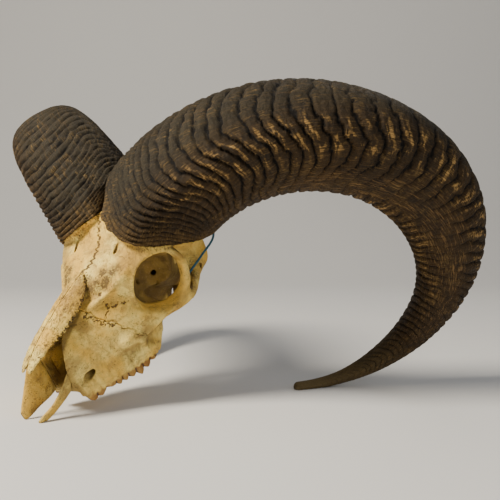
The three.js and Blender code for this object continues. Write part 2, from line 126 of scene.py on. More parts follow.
# Premaxillae: y, x and z of the lower edge, x and z of the upper edge, half thickness
PREMAXILLA_ROWS = {
    "left": [
        [3.5, 10.8, 1.2, 12.6, 4.8, 1.2],
        [9, 10.4, -0.8, 13, 6.4, 1.9],
        [20, 10.2, -0.4, 14, 8.5, 2.2],
        [33, 10.5, 2, 15.8, 15.5, 2.2],
        [44, 12, 6, 17.6, 25, 2.2],
        [58, 14, 12, 19, 40, 2],
    ],
    "right": [
        [3.5, 8.4, 2.4, 11.4, 8.6, 1.2],
        [9, 7.6, 2.2, 12.8, 15, 1.9],
        [20, 7, 4.2, 14.8, 27, 2.2],
        [33, 7.5, 4.5, 16.8, 41, 2.2],
        [44, 9, 5, 18, 49, 2.2],
        [58, 12, 6, 19, 54, 2],
    ],
}
PREMAXILLA_JOIN = 47  # y of the suture between the premaxilla and the upper jaw

ORBIT_CENTRE = (54.5, 161, 63.5)
ORBIT_FRONT = (-17, -43, 12)  # from the centre to the front of the rim
ORBIT_UP = (14, 16, 49)  # from the centre to the top of the rim
ORBIT_HALF = (27.5, 29.5)
ORBIT_RIM = 3.3
SOCKET_HALF = (26.2, 28.6)
SOCKET_SHIFT = 2.6
SOCKET_POWER = 2.25  # 2 is an oval, more is squarer
SOCKET_TAPER = [[-27, 0.4], [-20, 0.62], [-8, 0.92], [2, 1.0], [12, 1.12]]  # outward, size
# Bars of bone: x, y, z, half height, half thickness
CHEEK_ARCH = [
    [34, 132, 28, 10, 6],
    [52, 156, 32, 8, 5],
    [60, 172, 31, 6, 4],
    [62, 189, 32, 5.5, 3.6],
    [55.5, 204, 36, 6, 4],
    [46.5, 217, 38, 6.5, 6],
    [41, 226, 42, 7, 7],
]
POST_ORBITAL_BAR = [
    [60, 172, 90, 6, 5],
    [65, 184, 72, 5, 4.4],
    [64, 186, 52, 5, 4.4],
    [61, 180, 36, 5, 4.4],
]
MALAR_CREST = [[57, 156, 32, 3, 3], [50, 138, 24.5, 2.4, 2.4], [45, 121, 20, 2, 2]]
MALAR_PILLAR = [[45, 121, 19, 2.5, 2.5], [40, 124, 6, 2.5, 2.5]]
JAW_CORNER = [[40, 147, 21, 9, 5], [37.5, 143, 4, 8, 5.5]]
FACE_CREST = [[15, 94, 66, 1, 1], [24, 105, 69.5, 2, 2], [34, 118, 76, 2.5, 2.5], [45, 134, 88, 2, 2]]
PTERYGOID = [
    [13, 148, 14, 15, 1.6],
    [12.5, 168, 18, 14, 1.3],
    [12, 188, 17, 12, 1.5],
    [12, 202, 20, 8, 1.5],
]
PARAMASTOID = [[38, 228, 34, 7, 5], [33, 215, 9, 3, 2]]
NUCHAL_RIDGE = [[2, 236, 96, 4, 6], [30, 234, 88, 4, 5], [44, 228, 70, 3.5, 4]]
# Rounded swellings and hollows: centre, radii
TEMPLE_HOLLOW = ((70, 203, 65), (27, 13, 23))
UNDER_ORBIT_HOLLOW = ((47, 174, 21), (25, 21, 20))
CHEEK_SWELLING = ((38, 143, 34), (12, 20, 14))
FACIAL_TUBER = ((40, 112, 24), (5, 10, 5))
TEAR_GLAND_PIT = ((52, 128, 56), (9, 15, 9))
EAR_TUBE = ((47, 222, 42), (6, 6, 5))
CONDYLE = ((13, 244, 33), (9, 8, 12))
BULLA = ((25, 214, 19), (9, 13, 11))
SPINAL_OPENING = ((0, 250, 37), (10, 20, 9))

# Cheek teeth of one side, from front to back: length, width, number of lobes
TEETH_START = (20.5, 54, -3)
TEETH_END = (39, 134, -4)
TEETH_CROWN = 9.5
TEETH = [[8.5, 9, 1], [9.5, 10, 1], [10, 11, 1], [13, 13, 2], [16, 14, 2], [17, 13.5, 2]]

HORN = {
    "root": (34.7, 208.5, 110),
    "heading": 20.7,  # degrees from the animal's left towards its back
    "rise": 41.3,  # degrees above the palate plane
    "bend_side": -73.3,  # degrees, which way the first bend goes
    "length": 650,
    "bend": (191, 278, 299),  # degrees over the whole length, as rates at root, middle and tip
    "twist": (5.5, -78),  # degrees over the whole length, as rates at root and tip
    "section_turn": (19, -62),  # degrees, how the section sits on the bend at root and tip
    "keel": 0.22,
    "squareness": (2.8, 2.1),
    "seat_normal": (0.56, 0.17, 1),
    "seat_offset": -2.2,
    "seat_part": 0.26,  # part of the length whose rings are kept above the seat
    "seat_rise": 33.6,  # rise of that lower limit over the whole length
    "inner_gap": 0.8,  # half the slit between the two sheaths
    "gap_top": 147,  # under this level the slit widens, and bone shows between the sheaths
    "gap_slope": 0.3,
    # part of the length, half depth across the bend, half breadth
    "half_sizes": [
        [0, 56.5, 49.5],
        [0.33, 51, 40],
        [0.66, 36.5, 25.5],
        [0.9, 7.6, 6.9],
        [1, 4.6, 4.2],
    ],
    "tip_start": 0.992,  # part of the length where the tip begins to round off
    "tip_round": 0.008,
    "rings": 624,
    "skirt": 24,  # rings between the rim and the first whole ring
    "sides": 128,
    # part of the length, distance from one growth ridge to the next
    "ridge_steps": [
        [0, 5], [0.06, 7.5], [0.12, 11], [0.25, 13], [0.34, 16], [0.48, 16], [0.6, 11], [0.8, 8],
        [1, 6],
    ],
    # how far a ridge is swept to the tip on the side and on the front face, and how widely
    "side_sweep": {"left": (1.0, 34), "right": (1.7, 45)},
    "front_sweep": 15,
}
PEDICLE_FOOT = (22, 196, 60)
# part of the way to the foot, size as a part of the sheath's rim
PEDICLE_SIZES = [[0, 0.985], [0.1, 0.873], [0.32, 0.53], [0.6, 0.25]]

JAW_CANAL = [[29, 52, 11.5, 3.6, 3.8], [24, 64, 14, 3.5, 3.8], [21, 84, 18, 2.4, 2.4]]
ABOVE_NASALS = 20  # how far above the nasal bones their room reaches, so that nothing is left over it
MUZZLE_LIFT = 0.2  # the premaxillae end this far above the floor, as weathering lowers them a little
SEAM_WIDTH = 1.25

# The left half of the cord's route, from the middle below to near the middle behind
TIE_ROUTE = [
    (0, 163, -7),
    (18, 163.5, -6),
    (29.5, 161.5, 0),
    (34, 163, 13),
    (41, 182, 28),
    (50.5, 201, 43),
    (56, 224, 53.5),
    (54.5, 252, 61),
    (38, 270, 68),
    (14, 262, 78),
]
TIE_KNOTS = 240  # points on the smooth route
TIE_STEPS = 900  # rings on each strand

# Where the muzzle's origin lies along the object's own Y axis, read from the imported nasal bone
NASAL_TIP_Y = NASAL_ROWS[0][0] * math.cos(PITCH) - NASAL_ROWS[0][2] * math.sin(PITCH)
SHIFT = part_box("nasal_left")[0].y * 1000 - NASAL_TIP_Y


# ---- Settings -------------------------------------------------------------------------------


class RamBoneSettings(PropertyGroup):
    """Sizes and colours of the bones."""

    grid_step: FloatProperty(
        name="Grid Step", description="Spacing of the grid that the braincase is drawn on",
        default=0.00125, min=0.0008, unit="LENGTH",
    )
    fine_step: FloatProperty(
        name="Fine Grid Step", description="Spacing of the grid for jaws and thin bones",
        default=0.0008, min=0.0005, unit="LENGTH",
    )
    roughness_height: FloatProperty(
        name="Surface Unevenness", description="How far weathering lifts and sinks the surface",
        default=0.0005, min=0.0, unit="LENGTH",
    )
    suture_depth: FloatProperty(
        name="Suture Depth", description="Depth of the seams between bones",
        default=0.0006, min=0.0, unit="LENGTH",
    )
    pale: FloatVectorProperty(
        name="Pale Bone", description="Colour of clean, bleached bone",
        default=(0.98, 0.77, 0.22), subtype="COLOR", min=0, max=1,
    )
    cream: FloatVectorProperty(
        name="Cream Bone", description="Colour of most of the bone",
        default=(0.78, 0.47, 0.070), subtype="COLOR", min=0, max=1,
    )
    # also the colour of the painted shade in hollows
    stain: FloatVectorProperty(
        name="Stained Bone", description="Colour of the brown stains",
        default=(0.15, 0.09, 0.022), subtype="COLOR", min=0, max=1,
    )
    tooth: FloatVectorProperty(
        name="Teeth", description="Colour of the stained teeth",
        default=(0.30, 0.13, 0.022), subtype="COLOR", min=0, max=1,
    )


class RamHornSettings(PropertyGroup):
    """Sizes and colours of the horn sheaths."""

    ridge_height: FloatProperty(
        name="Ridge Height", description="Height of the growth ridges",
        default=0.0054, min=0.0, unit="LENGTH",
    )
    fibre_height: FloatProperty(
        name="Fibre Height", description="Height of the fine fibres along the sheath",
        default=0.0004, min=0.0, unit="LENGTH",
    )
    wobble: FloatProperty(
        name="Ridge Wobble", description="How far a ridge wanders, in ridge steps",
        default=1.1, min=0.0,
    )
    seed: IntProperty(name="Seed", description="Picks the pattern of the ridges", default=7)
    # the grooves' colour is painted shade
    dark: FloatVectorProperty(
        name="Dark Horn", description="Colour of the grooves",
        default=(0.003, 0.002, 0.0015), subtype="COLOR", min=0, max=1,
    )
    brown: FloatVectorProperty(
        name="Brown Horn", description="Colour of most of the side faces",
        default=(0.038, 0.0205, 0.0055), subtype="COLOR", min=0, max=1,
    )
    grey: FloatVectorProperty(
        name="Grey Horn", description="Colour of the weathered front face",
        default=(0.034, 0.027, 0.015), subtype="COLOR", min=0, max=1,
    )
    # the worn crests' colour is amber wear with a painted highlight
    worn: FloatVectorProperty(
        name="Worn Horn", description="Colour of the worn crests",
        default=(0.74, 0.43, 0.13), subtype="COLOR", min=0, max=1,
    )


class RamCordSettings(PropertyGroup):
    """Sizes and colour of the cord."""

    diameter: FloatProperty(
        name="Cord Diameter", description="Diameter over the twisted strands",
        default=0.0026, min=0.001, unit="LENGTH",
    )
    turns: IntProperty(
        name="Turns", description="Turns of the strands along the whole loop", default=74, min=1,
    )
    colour: FloatVectorProperty(
        name="Cord Colour", description="Colour of the cord",
        default=(0.010, 0.085, 0.14), subtype="COLOR", min=0, max=1,
    )


class RamStudioSettings(PropertyGroup):
    """The floor and the lights."""

    floor_colour: FloatVectorProperty(
        name="Floor Colour", description="Colour of the pale floor and backdrop",
        default=(0.74, 0.73, 0.71), subtype="COLOR", min=0, max=1,
    )
    key_power: FloatProperty(
        name="Key Light", description="Power of the main light, in watts", default=64.0, min=0.0,
    )
    fill_power: FloatProperty(
        name="Fill Light", description="Power of the fill light, in watts", default=5.0, min=0.0,
    )
    sky: FloatProperty(
        name="Surrounding Light", description="Strength of the even light all round",
        default=0.20, min=0.0,
    )


# ---- Node graphs ----------------------------------------------------------------------------


class Signal:
    """A node's output that takes part in Python arithmetic."""

    def __init__(self, graph, socket):
        self.graph = graph
        self.socket = socket

    def maths(self, operation, *values):
        """Adds a Math node for this signal and the other values."""
        inputs = dict(enumerate((self, *values)))
        return self.graph.add("ShaderNodeMath", {"operation": operation}, inputs)

    def reflected(self, operation, value):
        return self.graph.add("ShaderNodeMath", {"operation": operation}, {0: value, 1: self})

    def __add__(self, other):
        return self.maths("ADD", other)

    def __sub__(self, other):
        return self.maths("SUBTRACT", other)

    def __mul__(self, other):
        return self.maths("MULTIPLY", other)

    def __truediv__(self, other):
        return self.maths("DIVIDE", other)

    def __pow__(self, other):
        return self.maths("POWER", other)

    def __radd__(self, other):
        return self.reflected("ADD", other)

    def __rsub__(self, other):
        return self.reflected("SUBTRACT", other)

    def __rmul__(self, other):
        return self.reflected("MULTIPLY", other)

    def __abs__(self):
        return self.maths("ABSOLUTE")

    def limited(self):
        """The signal, held between 0 and 1."""
        return self.maths("MINIMUM", 1.0).maths("MAXIMUM", 0.0)

    def between(self, low, high):
        """0 below low, 1 above high, and a smooth rise from one to the other."""
        return self.graph.add(
            "ShaderNodeMapRange",
            {"interpolation_type": "SMOOTHSTEP"},
            {"Value": self, "From Min": low, "From Max": high},
        )


class Graph:
    """A node tree under construction."""

    def __init__(self, tree):
        self.tree = tree

    def add(self, kind, settings=None, inputs=None, output=0):
        """Adds a node: its settings first, then the values or links of its sockets."""
        node = self.tree.nodes.new(kind)
        for name, value in (settings or {}).items():
            setattr(node, name, value)
        for key, value in (inputs or {}).items():
            if isinstance(value, Signal):
                self.tree.links.new(value.socket, node.inputs[key])
            else:
                node.inputs[key].default_value = value
        return Signal(self, node.outputs[output])

    def blend(self, factor, a, b):
        """A colour between a and b."""
        a, b = (value if isinstance(value, Signal) else (*value, 1) for value in (a, b))
        return self.add(
            "ShaderNodeMix", {"data_type": "RGBA"}, {0: factor, 6: a, 7: b}, output=2,
        )

    def noise(self, vector, scale, detail=4.0, roughness=0.55, distortion=0.0, seed=0.0):
        """Noise from 0 to 1, with features about 1 / scale across."""
        return self.add(
            "ShaderNodeTexNoise", {"noise_dimensions": "4D"},
            {"Vector": vector, "W": seed, "Scale": scale, "Detail": detail,
             "Roughness": roughness, "Distortion": distortion},
        )

    def cells(self, vector, scale):
        """Distance to the nearest of scattered points."""
        return self.add("ShaderNodeTexVoronoi", {}, {"Vector": vector, "Scale": scale})

    def stretched(self, vector, factors):
        return self.add("ShaderNodeVectorMath", {"operation": "MULTIPLY"}, {0: vector, 1: factors})

    def attribute(self, name):
        """A number stored on the mesh, for a shader."""
        return self.add("ShaderNodeAttribute", {"attribute_name": name}, output=2)


def new_material(name, finish):
    """A material whose principled shader is filled in by finish(graph, shader)."""
    material = bpy.data.materials.new(name)
    material.use_nodes = True
    shader = material.node_tree.nodes["Principled BSDF"]
    finish(Graph(material.node_tree), shader)
    return material


def drive(graph, shader, links):
    for name, signal in links.items():
        graph.tree.links.new(signal.socket, shader.inputs[name])


def bump(graph, height, strength, distance):
    inputs = {"Height": height, "Strength": strength, "Distance": distance}
    return graph.add("ShaderNodeBump", {}, inputs)


# ---- Materials ------------------------------------------------------------------------------


# Colours that the settings leave alone
BONE_TONES = {
    "patch": (0.48, 0.28, 0.07),
    "shade": (0.33, 0.19, 0.045),
    "speck": (0.40, 0.26, 0.11),
    "pore": (0.17, 0.10, 0.035),
    "seam": (0.11, 0.06, 0.02),
    "enamel": (0.50, 0.29, 0.07),
    "shade_between_teeth": (0.10, 0.045, 0.018),
}
HORN_TONES = {
    "under": (0.058, 0.032, 0.011),
    "cloud": (0.018, 0.013, 0.008),
    "fibre": (0.085, 0.054, 0.022),
    "root": (0.21, 0.12, 0.035),
    "thread": (0.30, 0.17, 0.06),
    "ochre": (0.26, 0.16, 0.05),
    "smoke": (0.014, 0.011, 0.008),
    "tip": (0.22, 0.155, 0.065),
}


def bone_finish(settings, porous=0.0, grime=0.0):
    """Bleached bone: cream, paler where it is worn, brown in seams and pores, with painted shade in
    hollows.
    """

    def finish(graph, shader):
        place = graph.add("ShaderNodeTexCoord", output=3)
        hollow = graph.attribute("hollow")
        seam = graph.attribute("seam")
        tooth = graph.attribute("tooth")
        spongy = (graph.attribute("spongy") + porous).limited()
        broad = graph.noise(place, 26, 5, 0.6)
        patch = graph.noise(place, 70, 6, 0.65, 0.6, seed=3)
        speck = graph.noise(place, 420, 5, 0.65, seed=5)
        colour = graph.blend(broad.between(0.38, 0.66), settings.cream, settings.pale)
        colour = graph.blend(patch.between(0.48, 0.66) * 0.6, colour, BONE_TONES["patch"])
        shade = graph.noise(place, 30, 5, 0.62, 0.8, seed=31)
        colour = graph.blend(shade.between(0.46, 0.62) * 0.7, colour, BONE_TONES["shade"])
        veins = abs(graph.noise(place, 95, 4, 0.6, 0.4, seed=9) - 0.5)
        veins = (1 - veins.between(0.0, 0.016)) * patch.between(0.46, 0.60)
        stain = graph.attribute("stain")
        stained = stain * (0.45 + speck.between(0.40, 0.56) * 0.9)
        # real stains and grime, plus painted shade: the stain brown laid into hollows
        dirt_and_shade = hollow.between(0.2, 0.9) * (0.5 + patch * 0.8) + stained + grime * (0.4 + patch * 1.2)
        colour = graph.blend(dirt_and_shade.limited(), colour, settings.stain)
        colour = graph.blend(speck.between(0.55, 0.72) * 0.55, colour, BONE_TONES["speck"])
        gate = graph.noise(place, 120, 3, 0.6, seed=12)
        spread = gate.between(0.44, 0.58) * (0.25 + (spongy + stain).limited() * 0.75)
        small_pores = 1 - graph.cells(place, 620).between(0.12, 0.38)
        large_pores = 1 - graph.cells(place, 300).between(0.10, 0.30)
        streak_place = graph.stretched(place, (760, 250, 250))
        streaks = graph.noise(streak_place, 1.0, 3, 0.6, seed=14).between(0.53, 0.62) * spongy
        holes = ((small_pores + large_pores) * spread + streaks * 0.6 + veins * 0.5).limited()
        colour = graph.blend(holes, colour, BONE_TONES["pore"])
        line = seam.between(0.15, 0.55) * graph.noise(place, 160, 3, 0.6, seed=17).between(0.24, 0.46)
        colour = graph.blend(line * 0.95, colour, BONE_TONES["seam"])
        enamel = graph.blend(patch.between(0.35, 0.65), settings.tooth, BONE_TONES["enamel"])
        # painted shade on the teeth, deepest between their lobes
        enamel = graph.blend(hollow.between(0.15, 0.7), enamel, BONE_TONES["shade_between_teeth"])
        colour = graph.blend(tooth, colour, enamel)
        grain = graph.noise(place, 900, 3, 0.6, seed=21)
        height = speck * 0.35 + grain * 0.12 - holes * 1.0 - line * 1.1 + patch * 0.5
        normal = bump(graph, height, 1.0, 0.0008)
        rough = 0.62 + patch * 0.2 - tooth * 0.25
        drive(graph, shader, {"Base Color": colour, "Normal": normal, "Roughness": rough})
        shader.inputs["Specular IOR Level"].default_value = 0.32

    return finish


def horn_finish(settings):
    """Horn: painted shade, near black, in the grooves, grey in front, brown at the sides, golden on the
    crests with wear and a painted highlight.
    """

    def finish(graph, shader):
        place = graph.add("ShaderNodeTexCoord", output=3)
        crest = graph.attribute("crest")
        around_x = graph.attribute("around_x")
        around_y = graph.attribute("around_y")
        length = graph.attribute("length")
        unrolled = graph.add("ShaderNodeCombineXYZ", {}, {0: around_x, 1: around_y, 2: length})
        fibre = graph.noise(unrolled, 1.1, 5, 0.62, 0.5, seed=2)
        gold = graph.attribute("gold")
        under = graph.attribute("under")
        root = graph.attribute("root")
        tip = graph.attribute("tip")
        broad = graph.noise(place, 22, 4, 0.6)
        patch = graph.noise(place, 60, 4, 0.6, 0.5, seed=3)
        fine = graph.noise(place, 600, 3, 0.6, seed=6)
        colour = graph.blend(graph.attribute("front").between(0.2, 0.8), settings.brown, settings.grey)
        colour = graph.blend(under * 0.8, colour, HORN_TONES["under"])
        colour = graph.blend(broad.between(0.4, 0.7) * 0.5, colour, HORN_TONES["cloud"])
        colour = graph.blend(fibre.between(0.48, 0.68) * 0.35, colour, HORN_TONES["fibre"])
        # worn crests: amber wear and a painted highlight, on the side of the horn that gold marks
        wear_and_highlight = crest.between(0.82, 0.99) * gold.between(0.25, 0.85) * patch.between(0.42, 0.58)
        wear_and_highlight = wear_and_highlight * (0.12 + fibre.between(0.42, 0.60) * 0.88)
        colour = graph.blend((wear_and_highlight * 0.95).limited(), colour, settings.worn)
        rooted = root * (0.2 + fibre.between(0.42, 0.60) * 0.7)
        colour = graph.blend(rooted, colour, HORN_TONES["root"])
        long_place = graph.add(
            "ShaderNodeCombineXYZ", {}, {0: around_x, 1: around_y, 2: length * 0.3},
        )
        threads = graph.noise(long_place, 0.8, 4, 0.6, seed=19)
        threaded = threads.between(0.52, 0.66) * (under * 0.8 + 0.14)
        colour = graph.blend(threaded, colour, HORN_TONES["thread"])
        ochre = fibre.between(0.50, 0.64) * patch.between(0.46, 0.62)
        colour = graph.blend(ochre * 0.6, colour, HORN_TONES["ochre"])
        smoke = graph.noise(place, 90, 4, 0.65, 0.8, seed=27)
        colour = graph.blend(smoke.between(0.52, 0.66) * 0.55, colour, HORN_TONES["smoke"])
        colour = graph.blend(tip * (0.45 + threads * 0.7).limited(), colour, HORN_TONES["tip"])
        # painted shade: the grooves between the ridges near black
        colour = graph.blend((1 - crest.between(0.15, 0.72)) * 0.97, colour, settings.dark)
        height = fibre * 1.2 + fine * 0.3 + graph.noise(place, 240, 5, 0.65, 0.5, seed=11) * 1.8
        normal = bump(graph, height, 1.0, 0.0016)
        rough = 0.60 - wear_and_highlight * 0.16 + patch * 0.12
        drive(graph, shader, {"Base Color": colour, "Normal": normal, "Roughness": rough})
        shader.inputs["Specular IOR Level"].default_value = 0.24

    return finish


def cord_finish(settings):
    """Twisted synthetic cord."""

    def finish(graph, shader):
        place = graph.add("ShaderNodeTexCoord", output=3)
        fuzz = graph.noise(place, 1800, 3, 0.6)
        colour = graph.blend(fuzz.between(0.35, 0.75), settings.colour, (0.03, 0.17, 0.24))
        drive(graph, shader, {"Base Color": colour, "Normal": bump(graph, fuzz, 0.5, 0.0003)})
        shader.inputs["Roughness"].default_value = 0.7

    return finish


def floor_finish(settings):
    """Plain matt paper."""

    def finish(graph, shader):
        place = graph.add("ShaderNodeTexCoord", output=3)
        tone = graph.noise(place, 3, 2)
        pale = tuple(settings.floor_colour)
        colour = graph.blend(tone * 0.1, pale, (0.68, 0.67, 0.65))
        drive(graph, shader, {"Base Color": colour})
        shader.inputs["Roughness"].default_value = 0.9

    return finish


# ---- Fields of signed distance --------------------------------------------------------------

Shape = namedtuple("Shape", "distance low high")


def smooth_min(a, b, blend):
    """The smaller of two distances, rounded over a width of blend."""
    if blend <= 0:
        return np.minimum(a, b)
    overlap = np.maximum(blend - np.abs(a - b), 0) / blend
    return np.minimum(a, b) - overlap * overlap * (blend / 4)


def smooth_max(a, b, blend):
    return -smooth_min(-a, -b, blend)


def read_rows(rows, at):
    """Values of rows of [position, value, ...] at many positions, on a smooth curve."""
    table = np.array(rows, float)
    at = np.asarray(at, float).ravel()
    last = len(table) - 1
    low = np.clip(np.searchsorted(table[1:-1, 0], at, side="left"), 0, last - 1)
    a, b = table[low], table[low + 1]
    before, after = table[np.maximum(low - 1, 0)], table[np.minimum(low + 2, last)]
    span = b[:, :1] - a[:, :1]
    t = np.clip((at[:, None] - a[:, :1]) / span, 0, 1)
    rest = 1 - t
    slope_a = (b[:, 1:] - before[:, 1:]) / (b[:, :1] - before[:, :1]) * span
    slope_b = (after[:, 1:] - a[:, 1:]) / (after[:, :1] - a[:, :1]) * span
    ends = a[:, 1:] * rest * rest * (1 + 2 * t) + b[:, 1:] * t * t * (3 - 2 * t)
    return ends + slope_a * t * rest * rest - slope_b * t * t * rest


def read_line(at, rows):
    """Values of rows of [position, value] at many positions, on straight lines between them."""
    return np.interp(at, *np.array(rows).T)


def superellipse(u, v, half_u, half_v, power):
    """About the distance to a superellipse in the plane of u and v."""
    a = np.maximum(np.abs(u) / half_u, 1e-3)
    b = np.maximum(np.abs(v) / half_v, 1e-3)
    radius = (a**power + b**power) ** (1 / power)
    slope = radius ** (1 - power) * np.hypot(a ** (power - 1) / half_u, b ** (power - 1) / half_v)
    return (radius - 1) / np.maximum(slope, 0.4 / np.maximum(half_u, half_v))


def oval(rows, powers, end_blend=8.0):
    """A long body with oval cross sections, given as rows of y, half width, top, middle, bottom."""
    table = np.array(rows, float)

    def distance(x, y, z):
        columns = read_rows(rows, y).T.astype(np.float32)
        half, top, middle, bottom = (column[None, :, None] for column in columns)
        above = z > middle
        reach = np.where(above, top - middle, middle - bottom)
        power = np.where(above, *map(np.float32, powers))
        body = superellipse(x, z - middle, half, reach, power)
        ends = np.maximum(table[0, 0] - y, y - table[-1, 0])
        return smooth_max(body, ends, end_blend)

    widest = table[:, 1].max()
    low = (-widest, table[0, 0], table[:, 4].min())
    return Shape(distance, low, (widest, table[-1, 0], table[:, 2].max()))


def ellipsoid(centre, radii):
    centre, radii = np.array(centre, float), np.array(radii, float)

    def distance(x, y, z):
        parts = [(value - middle) / radius for value, middle, radius in zip((x, y, z), centre, radii)]
        near = np.sqrt(sum(part * part for part in parts)) + 1e-6
        scaled = np.sqrt(sum((part / radius) ** 2 for part, radius in zip(parts, radii))) + 1e-6
        return near * (near - 1) / scaled

    return Shape(distance, centre - radii, centre + radii)


def spline(points, count, closed=False):
    """Evenly spread points on a smooth curve through the given ones."""
    knots = np.array(points, float)
    if closed:
        path = np.vstack([knots[-1:], knots, knots[:2]])
    else:
        path = np.vstack([2 * knots[:1] - knots[1:2], knots, 2 * knots[-1:] - knots[-2:-1]])
    gaps = np.linalg.norm(np.diff(path[:, :3], axis=0), axis=1) ** 0.5
    places = np.linspace(0, len(path) - 3, count, endpoint=not closed)
    out = []
    for place in places:
        i = min(int(place), len(path) - 4)
        t = place - i
        p0, p1, p2, p3 = path[i:i + 4]
        d0, d1, d2 = gaps[i:i + 3]
        tangent_1 = ((p1 - p0) / d0 - (p2 - p0) / (d0 + d1) + (p2 - p1) / d1) * d1
        tangent_2 = ((p2 - p1) / d1 - (p3 - p1) / (d1 + d2) + (p3 - p2) / d2) * d1
        rise = -3 * p1 + 3 * p2 - 2 * tangent_1 - tangent_2
        out.append(p1 + tangent_1 * t + rise * t * t + (2 * p1 - 2 * p2 + tangent_1 + tangent_2) * t**3)
    return np.array(out)


def bar(points, pieces=14):
    """A bar of bone along rows of x, y, z, half height, half thickness."""
    path = spline(points, pieces + 1)

    def distance(x, y, z):
        best = np.float32(FAR)
        for a, b in zip(path[:-1], path[1:]):
            step = b[:3] - a[:3]
            t = ((x - a[0]) * step[0] + (y - a[1]) * step[1] + (z - a[2]) * step[2]) / (step @ step)
            t = np.clip(t, 0, 1)
            across = x - a[0] - t * step[0]
            along = np.hypot(y - a[1] - t * step[1], z - a[2] - t * step[2])
            height, thickness = (a[k] + (b[k] - a[k]) * t for k in (3, 4))
            near = np.hypot(across / thickness, along / height)
            best = np.minimum(best, (near - 1) * 2 / (1 / thickness + 1 / height))
        return best

    reach = path[:, 3:].max()
    return Shape(distance, path[:, :3].min(0) - reach, path[:, :3].max(0) + reach)


def frame_of(front, up):
    """Unit vectors to the front, up and outward, as the rows of a matrix."""
    front, up = (np.array(v, float) for v in (front, up))
    front /= np.linalg.norm(front)
    up -= front * (up @ front)
    up /= np.linalg.norm(up)
    out = np.cross(front, up)
    return np.array([front, up, out if out[0] > 0 else -out])


ORBIT_AXES = frame_of(ORBIT_FRONT, ORBIT_UP)


def in_orbit(x, y, z):
    """Coordinates in the orbit: to the front, up and outward."""
    moved = [value - middle for value, middle in zip((x, y, z), ORBIT_CENTRE)]
    return [sum(part * weight for part, weight in zip(moved, axis)) for axis in ORBIT_AXES]


def orbit_box(reach):
    return [c - reach for c in ORBIT_CENTRE], [c + reach for c in ORBIT_CENTRE]


def orbit_rim():
    def distance(x, y, z):
        front, up, out = in_orbit(x, y, z)
        angle = np.arctan2(up, front)
        part = np.sqrt((front / ORBIT_HALF[0]) ** 2 + (up / ORBIT_HALF[1]) ** 2) + 1e-6
        radial = np.hypot(front, up) * (1 - 1 / part)
        lip = out - 1.2 * np.cos(2 * angle)
        return np.hypot(radial, lip / 1.35) - ORBIT_RIM * (1 + 0.10 * np.cos(3 * angle + 0.5))

    return Shape(distance, *orbit_box(38))


def orbit_socket(grow=0.0):
    """The hollow inside the rim, narrowing inward."""

    def distance(x, y, z):
        front, up, out = in_orbit(x, y, z)
        taper = read_line(out, SOCKET_TAPER).astype(np.float32)
        half = [(size + grow) * taper for size in SOCKET_HALF]
        hole = superellipse(front - SOCKET_SHIFT * taper, up, *half, SOCKET_POWER)
        return smooth_max(hole, SOCKET_TAPER[0][0] - out, 6)

    return Shape(distance, *orbit_box(48))


def tunnel(start, end, radius):
    """A round canal or pit."""
    return bar([[*start, radius, radius], [*end, radius, radius]], 1)


